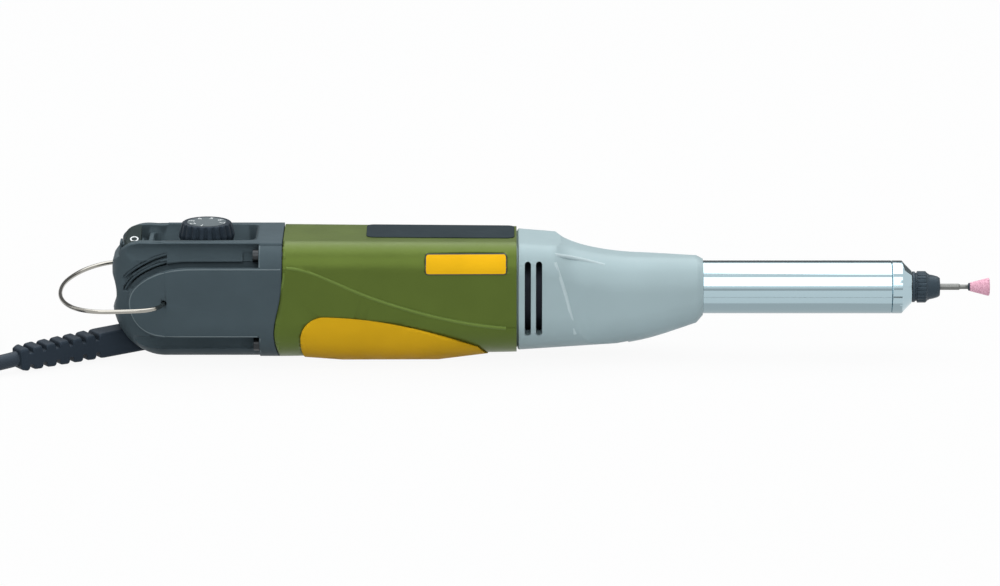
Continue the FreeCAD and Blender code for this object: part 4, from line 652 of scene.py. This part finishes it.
def make_rocker_mark():
    """The round OFF mark on the near half of the rocker."""
    radius, stroke, thick = 0.0016, 0.00052, 0.00006
    bpy.ops.object.select_all(action="DESELECT")
    bpy.ops.mesh.primitive_circle_add(vertices=40, radius=radius, fill_type="NGON", location=(0, 0, 0))
    ring = bpy.context.active_object
    bpy.ops.object.mode_set(mode="EDIT")
    bpy.ops.mesh.inset(thickness=stroke, depth=0)
    bpy.ops.mesh.delete(type="FACE")
    bpy.ops.mesh.select_all(action="SELECT")
    bpy.ops.mesh.extrude_region_move(TRANSFORM_OT_translate={"value": (0, 0, thick)})
    bpy.ops.mesh.select_all(action="SELECT")
    bpy.ops.mesh.normals_make_consistent(inside=False)
    leave_edit()
    printed_on_rocker(ring, "off_mark", -0.1469, 0.0006)


def make_slot_shade_ring():
    """A dark ring behind the nose's slots, put there as painted shade so that the slots look dark inside."""
    bpy.ops.object.select_all(action="DESELECT")
    bpy.ops.mesh.primitive_circle_add(vertices=72, radius=SHADE_RING_R, fill_type="NOTHING",
                                      location=(0, 0, 0))
    shade_ring = bpy.context.active_object
    shade_ring.name = "slot_shade_ring"
    bpy.ops.object.mode_set(mode="EDIT")
    bpy.ops.mesh.extrude_edges_move(TRANSFORM_OT_translate={"value": (0, 0, SHADE_RING_L)})
    leave_edit()
    shade_ring.matrix_world = (Matrix.Translation((SHADE_RING_FROM_X, 0, AXIS_Z))
                          @ Matrix.Rotation(math.pi / 2, 4, "Y"))
    bpy.ops.object.transform_apply(location=True, rotation=True, scale=True)
    shade_ring.modifiers.new("wall", "SOLIDIFY").thickness = SHADE_RING_WALL
    only(shade_ring)
    bpy.ops.object.modifier_apply(modifier="wall")
    edit(shade_ring)
    bpy.ops.mesh.select_all(action="SELECT")
    bpy.ops.mesh.normals_make_consistent(inside=False)
    leave_edit()
    smoothed(shade_ring, 30)
    return settle(shade_ring, "housing", "inner_plastic", INNER)


def edge_line(name, carrier, places, way, radius, slot, mat, sunk=0.55):
    """A fine rounded bead laid on a piece, its middle sunk by a share of its radius."""
    shell = bpy.data.objects[carrier]
    points = []
    for place in places:
        spot, facing = on_surface(shell, place, way)
        points.append(spot - facing * radius * sunk)
    return settle(wire_along(name, points, radius), "housing", slot, mat)


def side_line(name, carrier, side, line, radius, slot, mat, sunk=0.55):
    """A bead on a piece's side, along places given by x and z."""
    return edge_line(name, carrier, [(x, side * OUTSIDE_Y, z) for x, z in line], (0, -side, 0), radius,
                     slot, mat, sunk)


def plateau_edge(out, first, last, steps):
    """Places on the crown of the side plateau's outline, moved outwards."""
    places = []
    for i in range(steps + 1):
        turn = math.radians(first + (last - first) * i / steps)
        places.append((PLATEAU_CROWN_X + (PLATEAU_NOSE_L + out) * math.cos(turn),
                       BAIL_HOLE[1] + (PLATEAU_HALF_H + out) * math.sin(turn)))
    return places


def make_cover_edges(side, name):
    """The soft edges of the cover: round the plateau, along the lip and down the collar; the plateau and
    collar beads are painted lighter as highlights.
    """
    inner = 0.0004
    crown = plateau_edge(-inner, 90, 180, 9)
    low_steps, low_step = 6, 15
    low = []
    for i in range(1, low_steps + 1):
        turn = math.radians(180 + low_step * i)
        low.append((BAIL_HOLE[0] + (PLATEAU_HALF_H - inner) * math.cos(turn),
                    BAIL_HOLE[1] + (PLATEAU_HALF_H - inner) * math.sin(turn)))
    top_z, low_z = crown[0][1], low[-1][1]
    outline = [(-0.0913, top_z), (-0.1020, top_z), (-0.1140, top_z)] + crown + low
    outline += [(-0.1240, low_z), (-0.1120, low_z), (-0.1000, low_z)]
    side_line("plateau_edge_" + name, "rear_cover_skin", side, outline, PLATEAU_EDGE_R,
              "cover_plastic", COVER_PAINTED_HIGHLIGHT)
    lip = [(-0.1500, 0.0128), (-0.1485, 0.0138), (-0.1460, 0.0148), (-0.1400, 0.0152), (-0.1250, 0.0154),
           (-0.1100, 0.0154), (-0.0998, 0.0154)]
    edge_line("lip_edge_" + name, "rear_cover_skin", [(x, side * y, ABOVE_Z) for x, y in lip], (0, 0, -1),
              LIP_EDGE_R, "cover_plastic", COVER)
    collar_x = -0.0991
    for part, heights in (("upper", (0.0458, 0.0445, 0.0430, 0.0410, 0.0388)),
                          ("lower", (0.0112, 0.0090, 0.0066, 0.0046))):
        side_line("collar_%s_%s" % (part, name), "rear_cover_skin", side, [(collar_x, z) for z in heights],
                  COLLAR_EDGE_R, "cover_plastic", COVER_PAINTED_HIGHLIGHT)


def make_vent_ribs(side, name):
    """Round ribs that leave a thin curved gap in each of the cover's two air slots."""
    shell = bpy.data.objects["rear_cover_skin"]
    first, last, steps = 107, 171, 10
    sunk = 0.0005
    # How far outside the plateau each rib runs, and the solid land beside it that sets its depth
    for i, (centre, land) in enumerate(((0.00205, 0.00295), (0.00458, 0.00545))):
        points = []
        for place, beside in zip(plateau_edge(centre, first, last, steps),
                                 plateau_edge(land, first, last, steps)):
            spot, _ = on_surface(shell, (beside[0], side * OUTSIDE_Y, beside[1]), (0, -side, 0))
            points.append((place[0], spot.y - side * sunk, place[1]))
        rib = wire_along("vent_rib_%s_%d" % (name, i + 1), points, VENT_RIB_R)
        settle(rib, "housing", "cover_plastic", COVER)


def make_seam_edge(side, name):
    """A bead along the green housing's wavy seam, painted a lighter green as a highlight."""
    seam = [(-0.0897, 0.0440), (-0.0897, 0.0405), (-0.0898, 0.0360), (-0.0906, 0.0310), (-0.0915, 0.0260),
            (-0.0927, 0.0205), (-0.0933, 0.0150), (-0.0929, 0.0100), (-0.0919, 0.0060)]
    side_line("seam_edge_" + name, "motor_housing_skin", side, seam, SEAM_EDGE_R,
              "housing_green", GREEN_PAINTED_HIGHLIGHT, sunk=0.35)


def make_shoulder_line(side, name):
    """Beads along the nose's shoulder, one down its side and one forward from its top, painted a lighter grey
    as highlights.
    """
    line = [(0.0112, 0.0400), (0.0122, 0.0368), (0.0138, 0.0320), (0.0158, 0.0265), (0.0170, 0.0210),
            (0.0180, 0.0160), (0.0188, 0.0120)]
    side_line("shoulder_line_" + name, "nose_housing_skin", side, line, SHOULDER_LINE_R,
              "nose_grey", NOSE_PAINTED_HIGHLIGHT, sunk=0.65)
    ridge = [(0.0114, 0.0424), (0.0182, 0.0404), (0.0246, 0.0384), (0.0300, 0.0370)]
    side_line("shoulder_ridge_" + name, "nose_housing_skin", side, ridge, SHOULDER_RIDGE_R,
              "nose_grey", NOSE_PAINTED_HIGHLIGHT, sunk=0.75)


paint(bpy.data.objects["switch_rocker_skin"], ROCKER)
make_bail()
for side, name in ((-1, "near"), (1, "far")):
    make_crease(side, name)
    make_cover_edges(side, name)
    make_vent_ribs(side, name)
    make_seam_edge(side, name)
    make_shoulder_line(side, name)
make_rocker_mark()
make_slot_shade_ring()
make_dial()
make_dial_numbers()
boot = make_boot()


# The studio

def sees_background(tree):
    """1 for rays from the camera, off shiny surfaces and through clear ones, else 0."""
    path = tree.nodes.new("ShaderNodeLightPath")
    seen = tree.nodes.new("ShaderNodeMath")
    seen.operation = "MAXIMUM"
    tree.links.new(path.outputs["Is Camera Ray"], seen.inputs[0])
    tree.links.new(path.outputs["Is Glossy Ray"], seen.inputs[1])
    either = tree.nodes.new("ShaderNodeMath")
    either.operation = "MAXIMUM"
    tree.links.new(seen.outputs[0], either.inputs[0])
    tree.links.new(path.outputs["Is Transmission Ray"], either.inputs[1])
    return either.outputs[0]


def make_floor():
    """A white surface that looks like the picture's background and still takes a faint shadow."""
    gap_under_tool = 0.0003
    glow_share = 0.93
    bpy.ops.object.select_all(action="DESELECT")
    bpy.ops.mesh.primitive_plane_add(size=30, location=(0, 0, -gap_under_tool))
    floor = bpy.context.active_object
    floor.name = "floor"
    mat, tree, shader = new_material("floor_white")
    shader.inputs["Base Color"].default_value = (0.60, 0.61, 0.62, 1)
    shader.inputs["Roughness"].default_value = 0.9
    glow = tree.nodes.new("ShaderNodeEmission")
    glow.inputs["Color"].default_value = (1, 1, 1, 1)
    share = tree.nodes.new("ShaderNodeMath")
    share.operation = "MULTIPLY"
    share.inputs[1].default_value = glow_share
    tree.links.new(sees_background(tree), share.inputs[0])
    mix = tree.nodes.new("ShaderNodeMixShader")
    out = tree.nodes["Material Output"]
    tree.links.new(share.outputs[0], mix.inputs["Fac"])
    tree.links.new(shader.outputs["BSDF"], mix.inputs[1])
    tree.links.new(glow.outputs["Emission"], mix.inputs[2])
    tree.links.new(mix.outputs["Shader"], out.inputs["Surface"])
    paint(floor, mat)


def make_world():
    """A white surround, dimmer as a light than it looks."""
    strength_as_light, strength_as_seen = 0.34, 1.0
    world = bpy.data.worlds.new("studio")
    bpy.context.scene.world = world
    world.use_nodes = True
    tree = world.node_tree
    ranged = tree.nodes.new("ShaderNodeMapRange")
    ranged.inputs["To Min"].default_value = strength_as_light
    ranged.inputs["To Max"].default_value = strength_as_seen
    tree.links.new(sees_background(tree), ranged.inputs["Value"])
    back = tree.nodes["Background"]
    tree.links.new(ranged.outputs["Result"], back.inputs["Strength"])
    back.inputs["Color"].default_value = (1, 1, 1, 1)


def add_lamp(name, size, place, aim, power):
    """A square-cornered soft box that faces its aim, with its power in watts."""
    data = bpy.data.lights.new(name, "AREA")
    data.shape = "RECTANGLE"
    data.size, data.size_y = size
    data.energy = power
    lamp = bpy.data.objects.new(name, data)
    collection.objects.link(lamp)
    lamp.location = place
    lamp.rotation_euler = (Vector(aim) - Vector(place)).to_track_quat("-Z", "Y").to_euler()


def add_card(name, size, place, aim, grey):
    """A studio card that shows only in reflections, as bright as grey says."""
    bpy.ops.object.select_all(action="DESELECT")
    bpy.ops.mesh.primitive_plane_add(size=1, location=place)
    card = bpy.context.active_object
    card.name = name
    card.scale = (*size, 1)
    card.rotation_euler = (Vector(aim) - Vector(place)).to_track_quat("-Z", "Y").to_euler()
    mat, _, shader = new_material(name)
    shader.inputs["Base Color"].default_value = (0, 0, 0, 1)
    shader.inputs["Specular IOR Level"].default_value = 0
    shader.inputs["Emission Color"].default_value = (grey, grey, grey, 1)
    shader.inputs["Emission Strength"].default_value = 1
    paint(card, mat)
    card.visible_camera = False
    card.visible_diffuse = False
    card.visible_shadow = False


make_floor()
make_world()
add_lamp("overhead_box", size=(2.4, 1.9), place=(0, 0.55, 1.3), aim=(0, 0.55, 0), power=28)
add_lamp("front_key", size=(2.2, 0.9), place=(-0.1, -1.04, 0.84), aim=(0, 0, 0.02), power=10)
add_card("rear_card", size=(3.4, 0.8), place=(0, 1.3, 0.40), aim=(0, 0, 0.40), grey=0.18)
add_card("front_card", size=(3.4, 0.30), place=(0, -1.6, 0.12), aim=(0, 0, 0.12), grey=0.60)
# Cards seen only in the neck's reflection: a painted dark line on the floor in front of it, and painted shade
# on the floor under it
add_card("neck_reflection_dark_line", size=(0.090, 0.007), place=(0.105, -0.047, 0.0002), aim=(0.105, -0.047, 1),
         grey=0.25)
add_card("neck_reflection_floor_shade", size=(0.090, 0.060), place=(0.105, 0.010, 0.0002), aim=(0.105, 0.010, 1),
         grey=0.68)

bpy.context.scene.view_settings.view_transform = "Standard"
